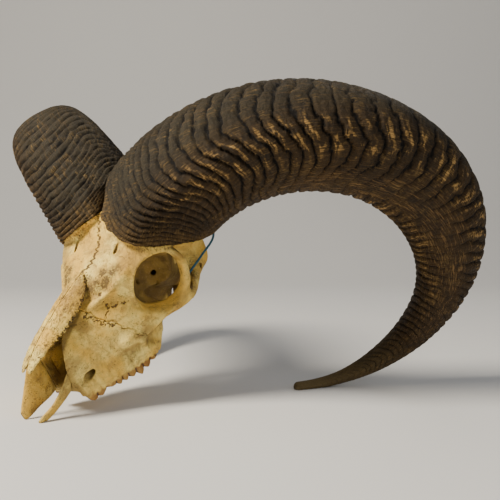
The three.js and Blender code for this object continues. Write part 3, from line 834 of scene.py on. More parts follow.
class Field:
    """Signed distances on an even grid in the skull's frame, negative inside the bone."""

    def __init__(self, low, high, step):
        self.step = step
        self.low = np.array(low, float)
        counts = np.ceil((np.array(high, float) - self.low) / step).astype(int) + 1
        self.axes = [(self.low[i] + step * np.arange(counts[i])).astype(np.float32) for i in range(3)]
        self.values = np.full(counts, FAR, np.float32)

    def grid(self, spans=(slice(None),) * 3):
        x, y, z = (axis[span] for axis, span in zip(self.axes, spans))
        return x[:, None, None], y[None, :, None], z[None, None, :]

    def merge(self, shape, blend, rule):
        spans = []
        for axis, low, high in zip(self.axes, shape.low, shape.high):
            first, last = np.searchsorted(axis, (low - REACH - blend, high + REACH + blend))
            if first >= last:
                return self
            spans.append(slice(first, last))
        spans = tuple(spans)
        near = shape.distance(*self.grid(spans)).astype(np.float32)
        self.values[spans] = rule(self.values[spans], near, blend)
        return self

    def add(self, shape, blend=0.0):
        return self.merge(shape, blend, smooth_min)

    def cut(self, shape, blend=0.0):
        return self.merge(shape, blend, lambda a, b, width: smooth_max(a, -b, width))

    def keep(self, rule, blend=0.0):
        """Keeps only where rule(x, y, z) is negative."""
        self.values = smooth_max(self.values, rule(*self.grid()).astype(np.float32), blend)
        return self

    def mirrored(self):
        """The whole field, from the half whose first layer lies half a step left of the middle."""
        whole = Field(self.low, self.low, self.step)
        whole.low = self.low - [self.low[0] * 2 + self.step * (self.values.shape[0] - 1), 0, 0]
        whole.values = np.concatenate([self.values[::-1], self.values])
        return whole

    def sample(self, points):
        """Distances at any points."""
        place = (points - self.low) / self.step
        limit = np.array(self.values.shape) - 2
        cell = np.clip(np.floor(place).astype(int), 0, limit)
        part = np.clip(place - cell, 0, 1)
        total = np.zeros(len(points))
        for corner in np.ndindex(2, 2, 2):
            weight = np.prod(np.where(corner, part, 1 - part), axis=1)
            total += weight * self.values[tuple((cell + corner).T)]
        return total

    def slopes(self, points, reach):
        """Unit vectors away from the bone at any points."""
        steps = np.eye(3) * reach
        slope = np.stack([self.sample(points + s) - self.sample(points - s) for s in steps], 1)
        return slope / np.maximum(np.linalg.norm(slope, axis=1, keepdims=True), 1e-9)

    def surface(self):
        """Points and four-sided faces of the surface at distance 0."""
        inside = self.values < 0
        shape = np.array(inside.shape) - 1
        count = np.zeros(shape, np.uint8)
        for corner in np.ndindex(2, 2, 2):
            count += inside[tuple(slice(c, c + n) for c, n in zip(corner, shape))]
        cells = np.argwhere((count > 0) & (count < 8))
        number = np.full(shape, -1, np.int64)
        number[tuple(cells.T)] = np.arange(len(cells))
        total, hits = np.zeros((len(cells), 3)), np.zeros(len(cells))
        units = np.eye(3, dtype=int)
        for axis in range(3):
            for corner in np.ndindex(2, 2, 2):
                if corner[axis]:
                    continue
                a = self.values[tuple((cells + corner).T)]
                b = self.values[tuple((cells + corner + units[axis]).T)]
                crossed = (a < 0) != (b < 0)
                part = np.where(crossed, a / np.where(crossed, a - b, 1), 0)
                total += crossed[:, None] * (np.array(corner) + part[:, None] * units[axis])
                hits += crossed
        points = self.low + self.step * (cells + total / hits[:, None])
        return points, np.vstack([self.faces_across(inside, number, axis) for axis in range(3)])

    @staticmethod
    def faces_across(inside, number, axis):
        """The faces that cross the grid's edges along one axis."""
        units = np.eye(3, dtype=int)
        side_u, side_v = units[(axis + 1) % 3], units[(axis + 2) % 3]
        first = inside.take(range(inside.shape[axis] - 1), axis)
        second = inside.take(range(1, inside.shape[axis]), axis)
        edges = np.argwhere(first != second)
        across = edges @ np.stack([side_u, side_v], 1)
        limits = np.array(number.shape) @ np.stack([side_u, side_v], 1)
        edges = edges[((across > 0) & (across < limits)).all(1)]
        turns = ((0, 0), (1, 0), (1, 1), (0, 1))
        corners = [edges - u * side_u - v * side_v for u, v in turns]
        quads = np.stack([number[tuple(corner.T)] for corner in corners], 1)
        leaves = first[tuple(edges.T)]
        return np.where(leaves[:, None], quads, quads[:, ::-1])


def main_body(points, faces):
    """Keeps the largest connected body, without loose crumbs."""
    label = np.arange(len(points))
    ends = np.vstack([faces[:, [0, 1]], faces[:, [1, 2]], faces[:, [2, 3]]])
    while True:
        lowest = np.minimum(label[ends[:, 0]], label[ends[:, 1]])
        new = label.copy()
        np.minimum.at(new, label[ends[:, 0]], lowest)
        np.minimum.at(new, label[ends[:, 1]], lowest)
        new = new[new]
        if (new == label).all():
            break
        label = new
    names, counts = np.unique(label, return_counts=True)
    keep = label == names[counts.argmax()]
    renumber = np.cumsum(keep) - 1
    return points[keep], renumber[faces[keep[faces[:, 0]]]]


# ---- Bones as fields ------------------------------------------------------------------------


def turned(vector, axis, angle):
    """A vector turned about a unit axis."""
    c, s = math.cos(angle), math.sin(angle)
    return vector * c + np.cross(axis, vector) * s + axis * (axis @ vector) * (1 - c)


def horn_start():
    """The first heading of the left horn and the side that it bends to."""
    heading, rise, side = (math.radians(HORN[key]) for key in ("heading", "rise", "bend_side"))
    along = np.array([
        math.cos(rise) * math.cos(heading), math.cos(rise) * math.sin(heading), math.sin(rise),
    ])
    level = np.cross((0, 0, 1), along)
    return along, turned(level / np.linalg.norm(level), along, side)


def horn_section(along, bend_to, part):
    """The outward and sideways directions of a horn's cross section."""
    turn = math.radians(np.interp(part, (0, 1), HORN["section_turn"]))
    return turned(-bend_to, along, turn), turned(np.cross(bend_to, along), along, turn)


def seat_height(x, y, z, lift=0.0):
    """Height above the plane that the left horn sits on."""
    along, _ = horn_start()
    normal = np.array(HORN["seat_normal"]) / np.linalg.norm(HORN["seat_normal"])
    origin = np.array(HORN["root"]) + along * (HORN["seat_offset"] + lift)
    return sum((value - o) * n for value, o, n in zip((x, y, z), origin, normal))


def horn_column(size, shift=(0, 0, 0)):
    """The left horn's first section carried on along its first heading."""
    along, bend_to = horn_start()
    outward, across = horn_section(along, bend_to, 0)
    depth, breadth = HORN["half_sizes"][0][1:]

    def distance(x, y, z):
        moved = [value - o - s for value, o, s in zip((x, y, z), HORN["root"], shift)]
        u = sum(part * axis for part, axis in zip(moved, outward))
        v = sum(part * axis for part, axis in zip(moved, across))
        keel = 1 + HORN["keel"] * np.clip(u / (depth * size), -1, 1)
        return superellipse(u, v, depth * size, breadth * size * keel, HORN["squareness"][0])

    return distance


def pedicle():
    """Bone under the sheath, narrowing from its rim into the braincase."""
    root, foot = np.array(HORN["root"], float), np.array(PEDICLE_FOOT, float)
    depth = -seat_height(*foot)

    def distance(x, y, z):
        below = -seat_height(x, y, z)
        part = np.clip(below / depth, 0, 0.6)
        size = read_line(part, PEDICLE_SIZES).astype(np.float32)
        shift = [(f - r) * part for f, r in zip(foot, root)]
        body = horn_column(size, shift)(x, y, z)
        return smooth_max(smooth_max(body, -below, 1.2), below - 0.6 * depth, 2)

    return Shape(distance, (0, 140, 40), (84, 262, 150))


def horn_seat():
    """The room of the sheath just above its seat."""
    column = horn_column(1.01)

    def distance(x, y, z):
        return np.maximum(column(x, y, z), -seat_height(x, y, z) - SUTURE)

    return Shape(distance, (0, 140, 80), (84, 262, 175))


def jaw_side(x, y, z):
    """Negative in the upper jaw, positive in the cranium, with a wavy suture between them."""
    run = 0.6 * x - 0.578 * y + 0.817 * z
    wave = 1.5 * np.sin(0.55 * run) + 0.9 * np.sin(1.37 * run + 1) + 0.5 * np.sin(2.9 * run)
    front = 0.817 * y + 0.578 * z - 113 + wave
    return np.minimum(front, np.maximum(y - 152, z - 20) + 0 * x)


def nasal_plate(lower=0.0, upper=0.0):
    """The left nasal bone, or the room for both when it is grown."""

    def distance(x, y, z):
        columns = read_rows(NASAL_ROWS, y).T.astype(np.float32)
        half, top, fall = (column[None, :, None] for column in columns)
        part = np.clip(np.abs(x) / half, 0, 1.3)
        level = top - fall * part**NASAL_ARCH
        steep = 1 / np.hypot(1.08, NASAL_ARCH * fall / half * part ** (NASAL_ARCH - 1))
        thickness = NASAL_THICKNESS * (1 - 0.35 * np.minimum(part, 1)) + lower
        plate = smooth_max((z - level - upper) * steep, (level - thickness - z) * steep, 0.8)
        tip = NASAL_ROWS[0][0] + 0.3 * (np.abs(x) - 4.6) ** 2
        ends = np.maximum(tip - y, y - NASAL_ROWS[-1][0])
        return smooth_max(smooth_max(plate, np.abs(x) - half - lower, 1.0), ends - lower, 1.0)

    return Shape(distance, (-20, 15, 35), (20, 120, 97))


def muzzle_blade(rows, start, end):
    """A thin, curved blade of bone, between two places along the skull."""

    def distance(x, y, z):
        columns = (column[None, :, None] for column in read_rows(rows, y).T.astype(np.float32))
        low_x, low_z, high_x, high_z, half = columns
        length = np.hypot(high_x - low_x, high_z - low_z)
        up_x, up_z = (high_x - low_x) / length, (high_z - low_z) / length
        dx, dz = x - (low_x + high_x) / 2, z - (low_z + high_z) / 2
        up, side = dx * up_x + dz * up_z, dx * up_z - dz * up_x
        blade = superellipse(up, side, length / 2, half, 2.4)
        return smooth_max(blade, np.maximum(start - y, y - end), 1.2)

    return Shape(distance, (3, start, -3), (23, end, 58))


def tooth_place(x, y):
    """Places along and across the left row of teeth, within a lobe, and the lobe's half width."""
    start, end = np.array(TEETH_START[:2], float), np.array(TEETH_END[:2], float)
    span = math.hypot(*(end - start))
    run = (end - start) / span
    lobes = [(length / count, width) for length, width, count in TEETH for _ in range(count)]
    edges = np.cumsum([0] + [length for length, _ in lobes])
    edges = edges / edges[-1] * span
    v = (x - start[0]) * run[0] + (y - start[1]) * run[1]
    u = (x - start[0]) * run[1] - (y - start[1]) * run[0]
    lobe = np.interp(v, edges, np.arange(len(edges)))
    half = np.interp(v, (edges[1:] + edges[:-1]) / 2, [width / 2 for _, width in lobes])
    return v, u, lobe - np.floor(lobe), lobe, half


def tooth_row():
    """The left cheek teeth: lobes with uneven cusps, worn lower towards the tongue."""
    start, end = np.array(TEETH_START, float), np.array(TEETH_END, float)
    span = math.hypot(*(end - start)[:2])

    def distance(x, y, z):
        v, u, phase, lobe, half = tooth_place(x, y)
        half = half * (1 + 0.07 * np.sin(12.9 * np.floor(lobe) + 1))
        bulge = np.abs(np.sin(np.pi * phase))
        half = half * (0.74 + 0.26 * np.sqrt(bulge))
        ridge = 0.7 * np.maximum(1 - np.abs(phase - 0.5) * 9, 0)
        outer = np.where(u > 0, u - ridge, u)
        worn = 0.4 * np.sin(2.1 * lobe) + 0.6 * np.sin(5.3 * np.floor(lobe) + 1)
        lean = phase - 0.12 * np.sin(3.7 * np.floor(lobe))
        point = 1 - np.clip(np.abs(2 * lean - 1), 0, 1) ** 1.5
        cusp = TEETH_CROWN * (0.62 + worn * 0.26) + (2.6 + 1.2 * worn) * point
        cusp = cusp * np.interp(v, (0, 12, 30), (0.55, 0.8, 1))
        lip = cusp - 2.2 * np.clip((half - u) / (2 * half), 0, 1)
        base = start[2] + (end[2] - start[2]) * v / span
        under = (base - lip - z) * 0.75
        body = smooth_max(np.abs(outer) - half, under, 1.0)
        ends = np.maximum(-v, v - span)
        return smooth_max(smooth_max(body, ends, 1.5), z - base - 6, 1)

    return Shape(distance, (12, 50, -18), (48, 138, 6))


def alveolar_bone():
    """The thick edge of the upper jaw that holds the cheek teeth, wavy over their roots."""
    start, end = np.array(TEETH_START, float), np.array(TEETH_END, float)
    span = math.hypot(*(end - start)[:2])
    run = (end - start)[:2] / span

    def distance(x, y, z):
        v = (x - start[0]) * run[0] + (y - start[1]) * run[1]
        u = (x - start[0]) * run[1] - (y - start[1]) * run[0]
        half = np.interp(v, (-4, 0, 12, 50, span, span + 12), (3, 4.5, 5.5, 7.6, 8.4, 4.5))
        half = half + 0.5 * np.sin(v * 0.78)
        low = start[2] + (end[2] - start[2]) * v / span - 1.1 - 0.7 * np.sin(v * 1.1)
        body = smooth_max(np.abs(u) - half, low - z, 3)
        body = smooth_max(body, z - low - 14, 8)
        return smooth_max(body, np.maximum(-4 - v, v - span - 9), 6)

    return Shape(distance, (10, 48, -10), (50, 150, 20))


# Brown stains: centre, radius, strength
STAINS = [
    ((24, 123, 91), 5, 1.3),
    ((29, 120, 85), 5, 1.4),
    ((27, 117, 81), 5, 1.3),
    ((20, 115, 84), 5, 0.9),
    ((14, 110, 81), 6, 1.0),
    ((9, 116, 88), 4, 0.8),
    ((33, 127, 90), 5, 1.0),
    ((38, 131, 92), 5, 0.7),
    ((53, 148, 101), 8, 0.3),
    ((20, 150, 113), 10, 0.25),
    ((30, 104, 66), 8, 0.4),
    ((54, 206, 41), 8, 0.8),
    ((62, 189, 36), 6, 0.6),
    ((50, 216, 52), 8, 0.5),
]
# Small features cut into or set on the skull, all in the skull's frame
PITS = [
    ((27, 171, 127), (25, 178, 116), 2.2),  # opening above the orbit
    ((20, 163, 122), (21, 160, 117), 0.9),
    ((29.5, 150, 109), (28, 143, 101), 2.0),  # furrow of the brow's nerve
    ((30, 178, 60), (18, 186, 56), 3.2),  # canals at the back of the orbit
    ((33, 160, 62), (22, 156, 60), 2.6),
    ((33, 176, 50), (18, 182, 44), 2.2),
    ((52, 224, 42), (40, 222, 42), 3.0),  # ear canal
    ((20, 236, 30), (14, 226, 26), 2.2),  # under the condyles
    ((10, 62, 0), (10, 62, -8), 1.8),  # palate
    ((11, 118, 2), (11, 118, -8), 2.0),
]


def shape_skull(field):
    """Builds the bone of the left half of the skull into a field, without nasals and teeth."""
    field.add(oval(CRANIUM_ROWS, CRANIUM_POWERS, 6))
    field.add(oval(FACE_ROWS, FACE_POWERS, 10), 9)
    field.add(oval(KEEL_ROWS, (2.5, 2.5)), 6)
    field.add(pedicle(), 5)
    field.cut(ellipsoid(*TEMPLE_HOLLOW), 6)
    field.cut(ellipsoid(*UNDER_ORBIT_HOLLOW), 6)
    field.add(ellipsoid(*CHEEK_SWELLING), 8)
    field.add(ellipsoid(*FACIAL_TUBER), 9)
    field.cut(ellipsoid(*TEAR_GLAND_PIT), 9)
    field.add(bar(FACE_CREST, 10), 7)
    field.add(bar(MALAR_CREST, 8), 6).add(bar(MALAR_PILLAR, 3), 6)
    field.add(alveolar_bone(), 8).add(bar(JAW_CORNER, 3), 6)
    field.cut(orbit_socket(), 3)
    field.add(orbit_rim(), 5)
    field.add(bar(CHEEK_ARCH), 5)
    field.add(bar(POST_ORBITAL_BAR), 4)
    field.cut(orbit_socket(), 1)
    field.add(bar(PTERYGOID, 6), 3)
    field.add(bar(NUCHAL_RIDGE, 8), 7)
    field.add(ellipsoid(*EAR_TUBE), 4)
    field.add(ellipsoid(*CONDYLE), 3)
    field.add(ellipsoid(*BULLA), 2.5)
    field.add(bar(PARAMASTOID, 6), 4)
    field.cut(ellipsoid(*SPINAL_OPENING), 2)
    for start, end, radius in PITS:
        field.cut(tunnel(start, end, radius), 0.8)
    return field


# Seams on the surface, as routes of points in the skull's frame: one over the forehead, the
# rest paired
FOREHEAD_SEAM = [
    (0, 119, 93), (-2.5, 121, 92), (3.8, 128, 96), (4.3, 138, 101.5), (3.8, 149, 110),
    (-1, 157, 119), (-3.5, 166, 131), (0, 186, 140),
]
PAIRED_SEAMS = [
    [(half, y, top - fall) for y, half, top, fall in NASAL_ROWS[2:]],
    [(17, 96, 80), (18, 90, 61), (22, 94, 58), (30, 99, 48), (36, 106, 45)],
    [(30, 100, 52), (30, 109, 61), (37, 118, 61), (42, 124, 60)],
    [(17, 104, 84), (24, 110, 77), (30, 109, 61)],
]


def seam_closeness(points):
    """1 on a seam, falling to 0 within a few millimetres."""
    wander = 1.1 * np.sin(points[:, [1, 2, 0]] * 1.15) + 0.7 * np.sin(points[:, [2, 0, 1]] * 2.7 + 1)
    folded = np.abs(points * (1, 0, 0)) + points * (0, 1, 1)
    best = np.full(len(points), FAR)
    for place, line in [(points, FOREHEAD_SEAM)] + [(folded, seam) for seam in PAIRED_SEAMS]:
        route = np.array(line, float)
        weights = (1, 1, 0.35) if line is FOREHEAD_SEAM else (1, 1, 1)
        for a, b in zip(route[:-1], route[1:]):
            step = b - a
            t = np.clip((place + wander - a) @ step / (step @ step), 0, 1)
            gap = np.linalg.norm((place + wander - a - t[:, None] * step) * weights, axis=1)
            best = np.minimum(best, gap)
    return np.exp(-((best / SEAM_WIDTH) ** 2))


# ---- Meshes ---------------------------------------------------------------------------------


def to_object_frame(points):
    """Millimetres in the skull's frame to metres in the object's frame."""
    x, y, z = np.asarray(points, float).T
    c, s = math.cos(PITCH), math.sin(PITCH)
    return np.stack([x, y * c - z * s + SHIFT, y * s + z * c - FLOOR], 1) / 1000


def new_mesh(name, points, faces, numbers=None):
    """A mesh in the object's frame from points in the skull's frame, with numbers on its points."""
    mesh = bpy.data.meshes.new(name)
    mesh.vertices.add(len(points))
    mesh.vertices.foreach_set("co", to_object_frame(points).astype(np.float32).ravel())
    loops = np.concatenate([np.asarray(face).ravel() for face in faces])
    sizes = np.concatenate([np.full(len(face), face.shape[1]) for face in faces])
    mesh.loops.add(len(loops))
    mesh.loops.foreach_set("vertex_index", loops.astype(np.int32))
    mesh.polygons.add(len(sizes))
    mesh.polygons.foreach_set("loop_start", (np.cumsum(sizes) - sizes).astype(np.int32))
    mesh.update(calc_edges=True)
    mesh.validate()
    mesh.shade_smooth()
    for key, values in (numbers or {}).items():
        layer = mesh.attributes.new(key, "FLOAT", "POINT")
        layer.data.foreach_set("value", np.asarray(values, np.float32))
    return mesh


def link(name, mesh):
    piece = bpy.data.objects.new(name, mesh)
    bpy.context.scene.collection.objects.link(piece)
    return piece


def geometry_tree(name, inputs, build):
    """A Geometry Nodes tree with named inputs. build(graph, values, geometry) returns a geometry."""
    tree = bpy.data.node_groups.new(name, "GeometryNodeTree")
    tree.interface.new_socket("Geometry", in_out="INPUT", socket_type="NodeSocketGeometry")
    for label, kind in inputs:
        tree.interface.new_socket(label, in_out="INPUT", socket_type=kind)
    tree.interface.new_socket("Geometry", in_out="OUTPUT", socket_type="NodeSocketGeometry")
    graph = Graph(tree)
    source = tree.nodes.new("NodeGroupInput")
    values = {socket.name: Signal(graph, socket) for socket in source.outputs if socket.name}
    body = build(graph, values, values["Geometry"])
    body = graph.add("GeometryNodeRealizeInstances", {}, {"Geometry": body})
    body = graph.add("GeometryNodeSetMaterial", {}, {"Geometry": body, "Material": values["Material"]})
    result = tree.nodes.new("NodeGroupOutput")
    tree.links.new(body.socket, result.inputs[0])
    return tree


def run_tree(piece, tree, values):
    """Runs a tree on a piece and turns the result into a plain mesh."""
    modifier = piece.modifiers.new(tree.name, "NODES")
    modifier.node_group = tree
    for item in tree.interface.items_tree:
        if item.in_out == "INPUT" and item.name in values:
            modifier[item.identifier] = values[item.name]
    graph = bpy.context.evaluated_depsgraph_get()
    mesh = bpy.data.meshes.new_from_object(piece.evaluated_get(graph), depsgraph=graph)
    piece.modifiers.remove(modifier)
    piece.data = mesh
    mesh.shade_smooth()
    return piece


def weathering_tree():
    """Lifts and sinks the surface of a bone by soft noise, and sinks its seams."""

    def build(graph, values, geometry):
        place = graph.add("GeometryNodeInputPosition")
        normal = graph.add("GeometryNodeInputNormal")
        seam = graph.add("GeometryNodeInputNamedAttribute", {"data_type": "FLOAT"}, {"Name": "seam"})
        soft = graph.noise(place, 75, 3, 0.55, seed=2)
        small = graph.noise(place, 240, 2, 0.5, seed=8)
        spongy = graph.add("GeometryNodeInputNamedAttribute", {"data_type": "FLOAT"}, {"Name": "spongy"})
        lift = (soft - 0.5) * 1.6 + (small - 0.5) * (1.1 + spongy * 1.6)
        height = lift * values["Unevenness"] * (1 + spongy) - seam * values["Seam Depth"]
        offset = graph.add("ShaderNodeVectorMath", {"operation": "SCALE"}, {0: normal, 3: height})
        return graph.add("GeometryNodeSetPosition", {}, {"Geometry": geometry, "Offset": offset})

    inputs = [("Unevenness", "NodeSocketFloat"), ("Seam Depth", "NodeSocketFloat"),
              ("Material", "NodeSocketMaterial")]
    return geometry_tree("Weathered Bone", inputs, build)


def self_ridge(phase):
    """A rounded ridge in each whole step of the phase, steep towards the root, with a sharp groove."""
    part = phase.maths("FRACT")
    rise = 1 - (1 - part / 0.2).limited() ** 2.0
    return rise * (1 - part ** 5.0)


def ridge_tree():
    """Raises the growth ridges and fibres of a horn sheath and stores the crests for its material."""

    def build(graph, values, geometry):
        def stored(name):
            return graph.add("GeometryNodeInputNamedAttribute", {"data_type": "FLOAT"}, {"Name": name})

        place = graph.add("GeometryNodeInputPosition")
        normal = graph.add("GeometryNodeInputNormal")
        seed = values["Seed"] + 0.0
        wander = (graph.noise(place, 14, 3, 0.5, seed=seed) - 0.5) * values["Wobble"]
        wander = wander + (graph.noise(place, 60, 4, 0.6, seed=seed + 4) - 0.5) * (values["Wobble"] * 1.1)
        wander = wander + (graph.noise(place, 30, 3, 0.6, seed=seed + 12) - 0.5) * values["Wobble"]
        phase = stored("growth") + wander
        ridge = self_ridge(phase)
        second = self_ridge(phase * 2 + wander + 0.4)
        root_part = 1 - stored("length").between(1.5, 10)
        ridge = ridge * (1 - root_part * 0.45 * (1 - second))
        wrinkle = self_ridge(phase * 3 + graph.noise(place, 90, 3, 0.6, seed=seed + 6) * 2.2)
        size = 0.35 + graph.noise(place, 34, 3, 0.6, seed=seed + 8) * 1.25
        turn = graph.add(
            "ShaderNodeCombineXYZ", {}, {0: stored("around_x"), 1: stored("around_y"), 2: stored("length")},
        )
        fibre = graph.noise(turn, 1.0, 4, 0.6, seed=seed + 2)
        strength = stored("strength")
        height = ((ridge - 0.65) * size * strength + (wrinkle - 0.6) * 0.15) * values["Ridge Height"]
        height = height + (fibre - 0.5) * 2 * values["Fibre Height"] * stored("closed")
        offset = graph.add("ShaderNodeVectorMath", {"operation": "SCALE"}, {0: normal, 3: height})
        body = graph.add("GeometryNodeSetPosition", {}, {"Geometry": geometry, "Offset": offset})
        resting = graph.add(
            "ShaderNodeVectorMath", {"operation": "MAXIMUM"},
            {0: graph.add("GeometryNodeInputPosition"), 1: (-FAR, -FAR, 0)},
        )
        body = graph.add("GeometryNodeSetPosition", {}, {"Geometry": body, "Position": resting})
        # 1 on the ridges' tops and low in the grooves: the material paints shade in the grooves and the
        # worn highlight on the crests
        crest = 1 - (1 - ridge) * (0.30 + strength * 0.85).limited() - (1 - wrinkle) * 0.36
        return graph.add(
            "GeometryNodeStoreNamedAttribute", {"data_type": "FLOAT"},
            {"Geometry": body, "Name": "crest", "Value": crest},
        )

    inputs = [("Ridge Height", "NodeSocketFloat"), ("Fibre Height", "NodeSocketFloat"),
              ("Wobble", "NodeSocketFloat"), ("Seed", "NodeSocketInt"), ("Material", "NodeSocketMaterial")]
    return geometry_tree("Growth Ridges", inputs, build)


def cord_tree():
    """Winds three strands round a closed route."""
    strands = 3

    def build(graph, values, geometry):
        route = graph.add("GeometryNodeMeshToCurve", {}, {"Mesh": geometry})
        route = graph.add("GeometryNodeResampleCurve", {}, {"Curve": route, "Count": values["Steps"]})
        normal = graph.add("GeometryNodeInputNormal")
        tangent = graph.add("GeometryNodeInputTangent")
        across = graph.add("ShaderNodeVectorMath", {"operation": "CROSS_PRODUCT"}, {0: tangent, 1: normal})
        factor = graph.add("GeometryNodeSplineParameter")
        radius = values["Diameter"] * 0.25
        profile = graph.add(
            "GeometryNodeCurvePrimitiveCircle", {}, {"Resolution": 8, "Radius": radius * 1.02},
        )
        join = graph.tree.nodes.new("GeometryNodeJoinGeometry")
        for strand in range(strands):
            angle = (factor * values["Turns"] + strand / strands) * (2 * math.pi)
            parts = []
            for direction, wave in ((normal, angle.maths("COSINE")), (across, angle.maths("SINE"))):
                parts.append(graph.add(
                    "ShaderNodeVectorMath", {"operation": "SCALE"}, {0: direction, 3: wave * radius},
                ))
            offset = graph.add("ShaderNodeVectorMath", {"operation": "ADD"}, {0: parts[0], 1: parts[1]})
            wound = graph.add("GeometryNodeSetPosition", {}, {"Geometry": route, "Offset": offset})
            tube = graph.add("GeometryNodeCurveToMesh", {}, {"Curve": wound, "Profile Curve": profile})
            graph.tree.links.new(tube.socket, join.inputs[0])
        return Signal(graph, join.outputs[0])

    inputs = [("Diameter", "NodeSocketFloat"), ("Turns", "NodeSocketInt"), ("Steps", "NodeSocketInt"),
              ("Material", "NodeSocketMaterial")]
    return geometry_tree("Twisted Cord", inputs, build)


def bone_numbers(field, points, spongy, tooth=None):
    """What the bone's material reads: how hollow, seamed, spongy and stained each point is."""
    # how closed in each point is, from the field a little way out, which the material paints as shade in
    # hollows
    away = field.slopes(points, field.step)
    near = 1 - np.clip(field.sample(points + away * 4) / 4, 0, 1)
    wide = 1 - np.clip(field.sample(points + away * 10) / 10, 0, 1)
    stain = np.zeros(len(points))
    for centre, radius, amount in STAINS:
        gap = np.linalg.norm(np.abs(points * (1, 0, 0)) + points * (0, 1, 1) - centre, axis=1)
        stain = np.maximum(stain, amount * np.exp(-((gap / radius) ** 2)))
    return {
        "hollow": np.clip(near * 0.6 + wide * 0.75, 0, 1),
        "seam": seam_closeness(points),
        "spongy": spongy,
        "tooth": np.zeros(len(points)) if tooth is None else tooth,
        "stain": stain,
    }


def settle(field, points):
    """Moves points onto the surface."""
    for _ in range(2):
        away = field.slopes(points, field.step * 0.7)
        points = points - away * np.clip(field.sample(points), -0.4, 0.4)[:, None]
    return points


def finish_bone(name, node, points, faces, numbers, material):
    """Makes a bone's mesh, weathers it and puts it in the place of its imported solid."""
    settings = bpy.context.scene.ram_bone
    piece = link(name, new_mesh(name, points, [faces], numbers))
    tree = bpy.data.node_groups.get("Weathered Bone") or weathering_tree()
    run_tree(piece, tree, {
        "Unevenness": settings.roughness_height, "Seam Depth": settings.suture_depth, "Material": material,
    })
    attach(piece, "root")
    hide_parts(node)
    return piece


def bone_material(name, **kinds):
    """The bone material of that name, made when it is first asked for."""
    settings = bpy.context.scene.ram_bone
    return bpy.data.materials.get(name) or new_material(name, bone_finish(settings, **kinds))


def flipped(points, faces):
    """The mirror image of a mesh, facing outward."""
    return points * (-1, 1, 1), faces[:, ::-1]


# ---- Operators ------------------------------------------------------------------------------


class RAM_OT_cranium(Operator):
    """Build the braincase with the brows, orbits, cheek arches and the base of the skull"""

    bl_idname = "ram.cranium"
    bl_label = "Cranium"

    def execute(self, context):
        step = context.scene.ram_bone.grid_step * 1000
        field = shape_skull(Field((step / 2, 84, -14), (86, 258, 152), step))
        nasal_room = nasal_plate(SUTURE, ABOVE_NASALS)
        field.cut(nasal_room).cut(horn_seat())
        field.keep(lambda x, y, z: SUTURE - jaw_side(x, y, z))
        whole = field.mirrored()
        points, faces = main_body(*whole.surface())
        points = settle(whole, points)
        x, y, z = np.abs(points[:, 0]), points[:, 1], points[:, 2]
        brow = np.clip(1 - np.abs(seat_height(x, y, z)) / 16, 0, 1)
        spongy = np.clip(brow * 0.9 + 0.15, 0, 1)
        front, up, out = in_orbit(x, y, z)
        # painted shade in the socket: dark, and more widely so the deeper it goes in its lower half
        deeper = 1 + 0.02 * np.clip(-5 - out, 0, 40) * (up < 0)
        inside = 7 - 6 * np.hypot(front / ORBIT_HALF[0], up / ORBIT_HALF[1]) / deeper
        numbers = bone_numbers(whole, points, spongy)
        depth = np.clip((-1 - out) / 6, 0, 0.9) * np.clip(inside, 0, 1)
        numbers["hollow"] = np.maximum(numbers["hollow"], depth)
        finish_bone("cranium_bone", "cranium", points, faces, numbers, bone_material("Bleached Bone"))
        return {"FINISHED"}


class RAM_OT_upper_jaws(Operator):
    """Build both upper jaws with their cheek teeth"""

    bl_idname = "ram.upper_jaws"
    bl_label = "Upper Jaws"

    def execute(self, context):
        step = context.scene.ram_bone.fine_step * 1000
        field = shape_skull(Field((-1.6, 44, -18), (52, 158, 92), step))
        field.cut(oval(CAVITY_ROWS, (2.2, 2.2)), 1)
        plain = field.values.copy()
        for side in ("left", "right"):
            field.values = plain.copy()
            if side == "right":  # the left one has lost this process
                field.add(muzzle_blade(PREMAXILLA_ROWS[side], PREMAXILLA_JOIN - 3, 58), 1)
            field.cut(nasal_plate(SUTURE, ABOVE_NASALS))
            field.keep(lambda x, y, z: jaw_side(x, y, z))
            field.keep(lambda x, y, z: PREMAXILLA_JOIN + SUTURE - y + 0 * x + 0 * z, 1)
            field.cut(bar(JAW_CANAL, 6), 1)
            bone = Field(field.low, field.low, field.step)
            bone.values = field.values.copy()
            field.add(tooth_row(), 1.2)
            field.keep(lambda x, y, z: SUTURE / 2 - x + 0 * y + 0 * z)
            points, faces = main_body(*field.surface())
            points = settle(field, points)
            tooth = np.clip(bone.sample(points) / 1.2, 0, 1) * (points[:, 2] < 0)
            numbers = bone_numbers(field, points, np.full(len(points), 0.2), tooth)
            # painted shade on the teeth between their lobes
            lobe_middle = np.exp(-((tooth_place(*points.T[:2])[2] - 0.5) / 0.42) ** 8)
            numbers["hollow"] = np.maximum(numbers["hollow"], tooth * (1 - lobe_middle) * 0.8)
            # painted shade on the walls of the nose inside
            within = np.clip((15 - points[:, 0]) / 3, 0, 0.75) * np.clip(points[:, 2] / 4, 0, 1)
            numbers["hollow"] = np.maximum(numbers["hollow"], within)
            if side == "right":
                points, faces = flipped(points, faces)
            name = f"upper_jaw_{side}"
            finish_bone(f"{name}_bone", name, points, faces, numbers, bone_material("Bleached Bone"))
        return {"FINISHED"}


class RAM_OT_nasals(Operator):
    """Build the two porous nasal bones"""

    bl_idname = "ram.nasals"
    bl_label = "Nasal Bones"

    def execute(self, context):
        step = context.scene.ram_bone.fine_step * 1000
        field = Field((-1.6, 12, 34), (21, 122, 98), step).add(nasal_plate())
        field.keep(lambda x, y, z: SUTURE / 2 - x + 0 * y + 0 * z, 0.6)
        points, faces = main_body(*field.surface())
        points = settle(field, points)
        numbers = bone_numbers(field, points, np.full(len(points), 0.6))
        material = bone_material("Porous Bone", porous=0.25)
        finish_bone("nasal_left_bone", "nasal_left", points, faces, numbers, material)
        finish_bone("nasal_right_bone", "nasal_right", *flipped(points, faces), numbers, material)
        return {"FINISHED"}


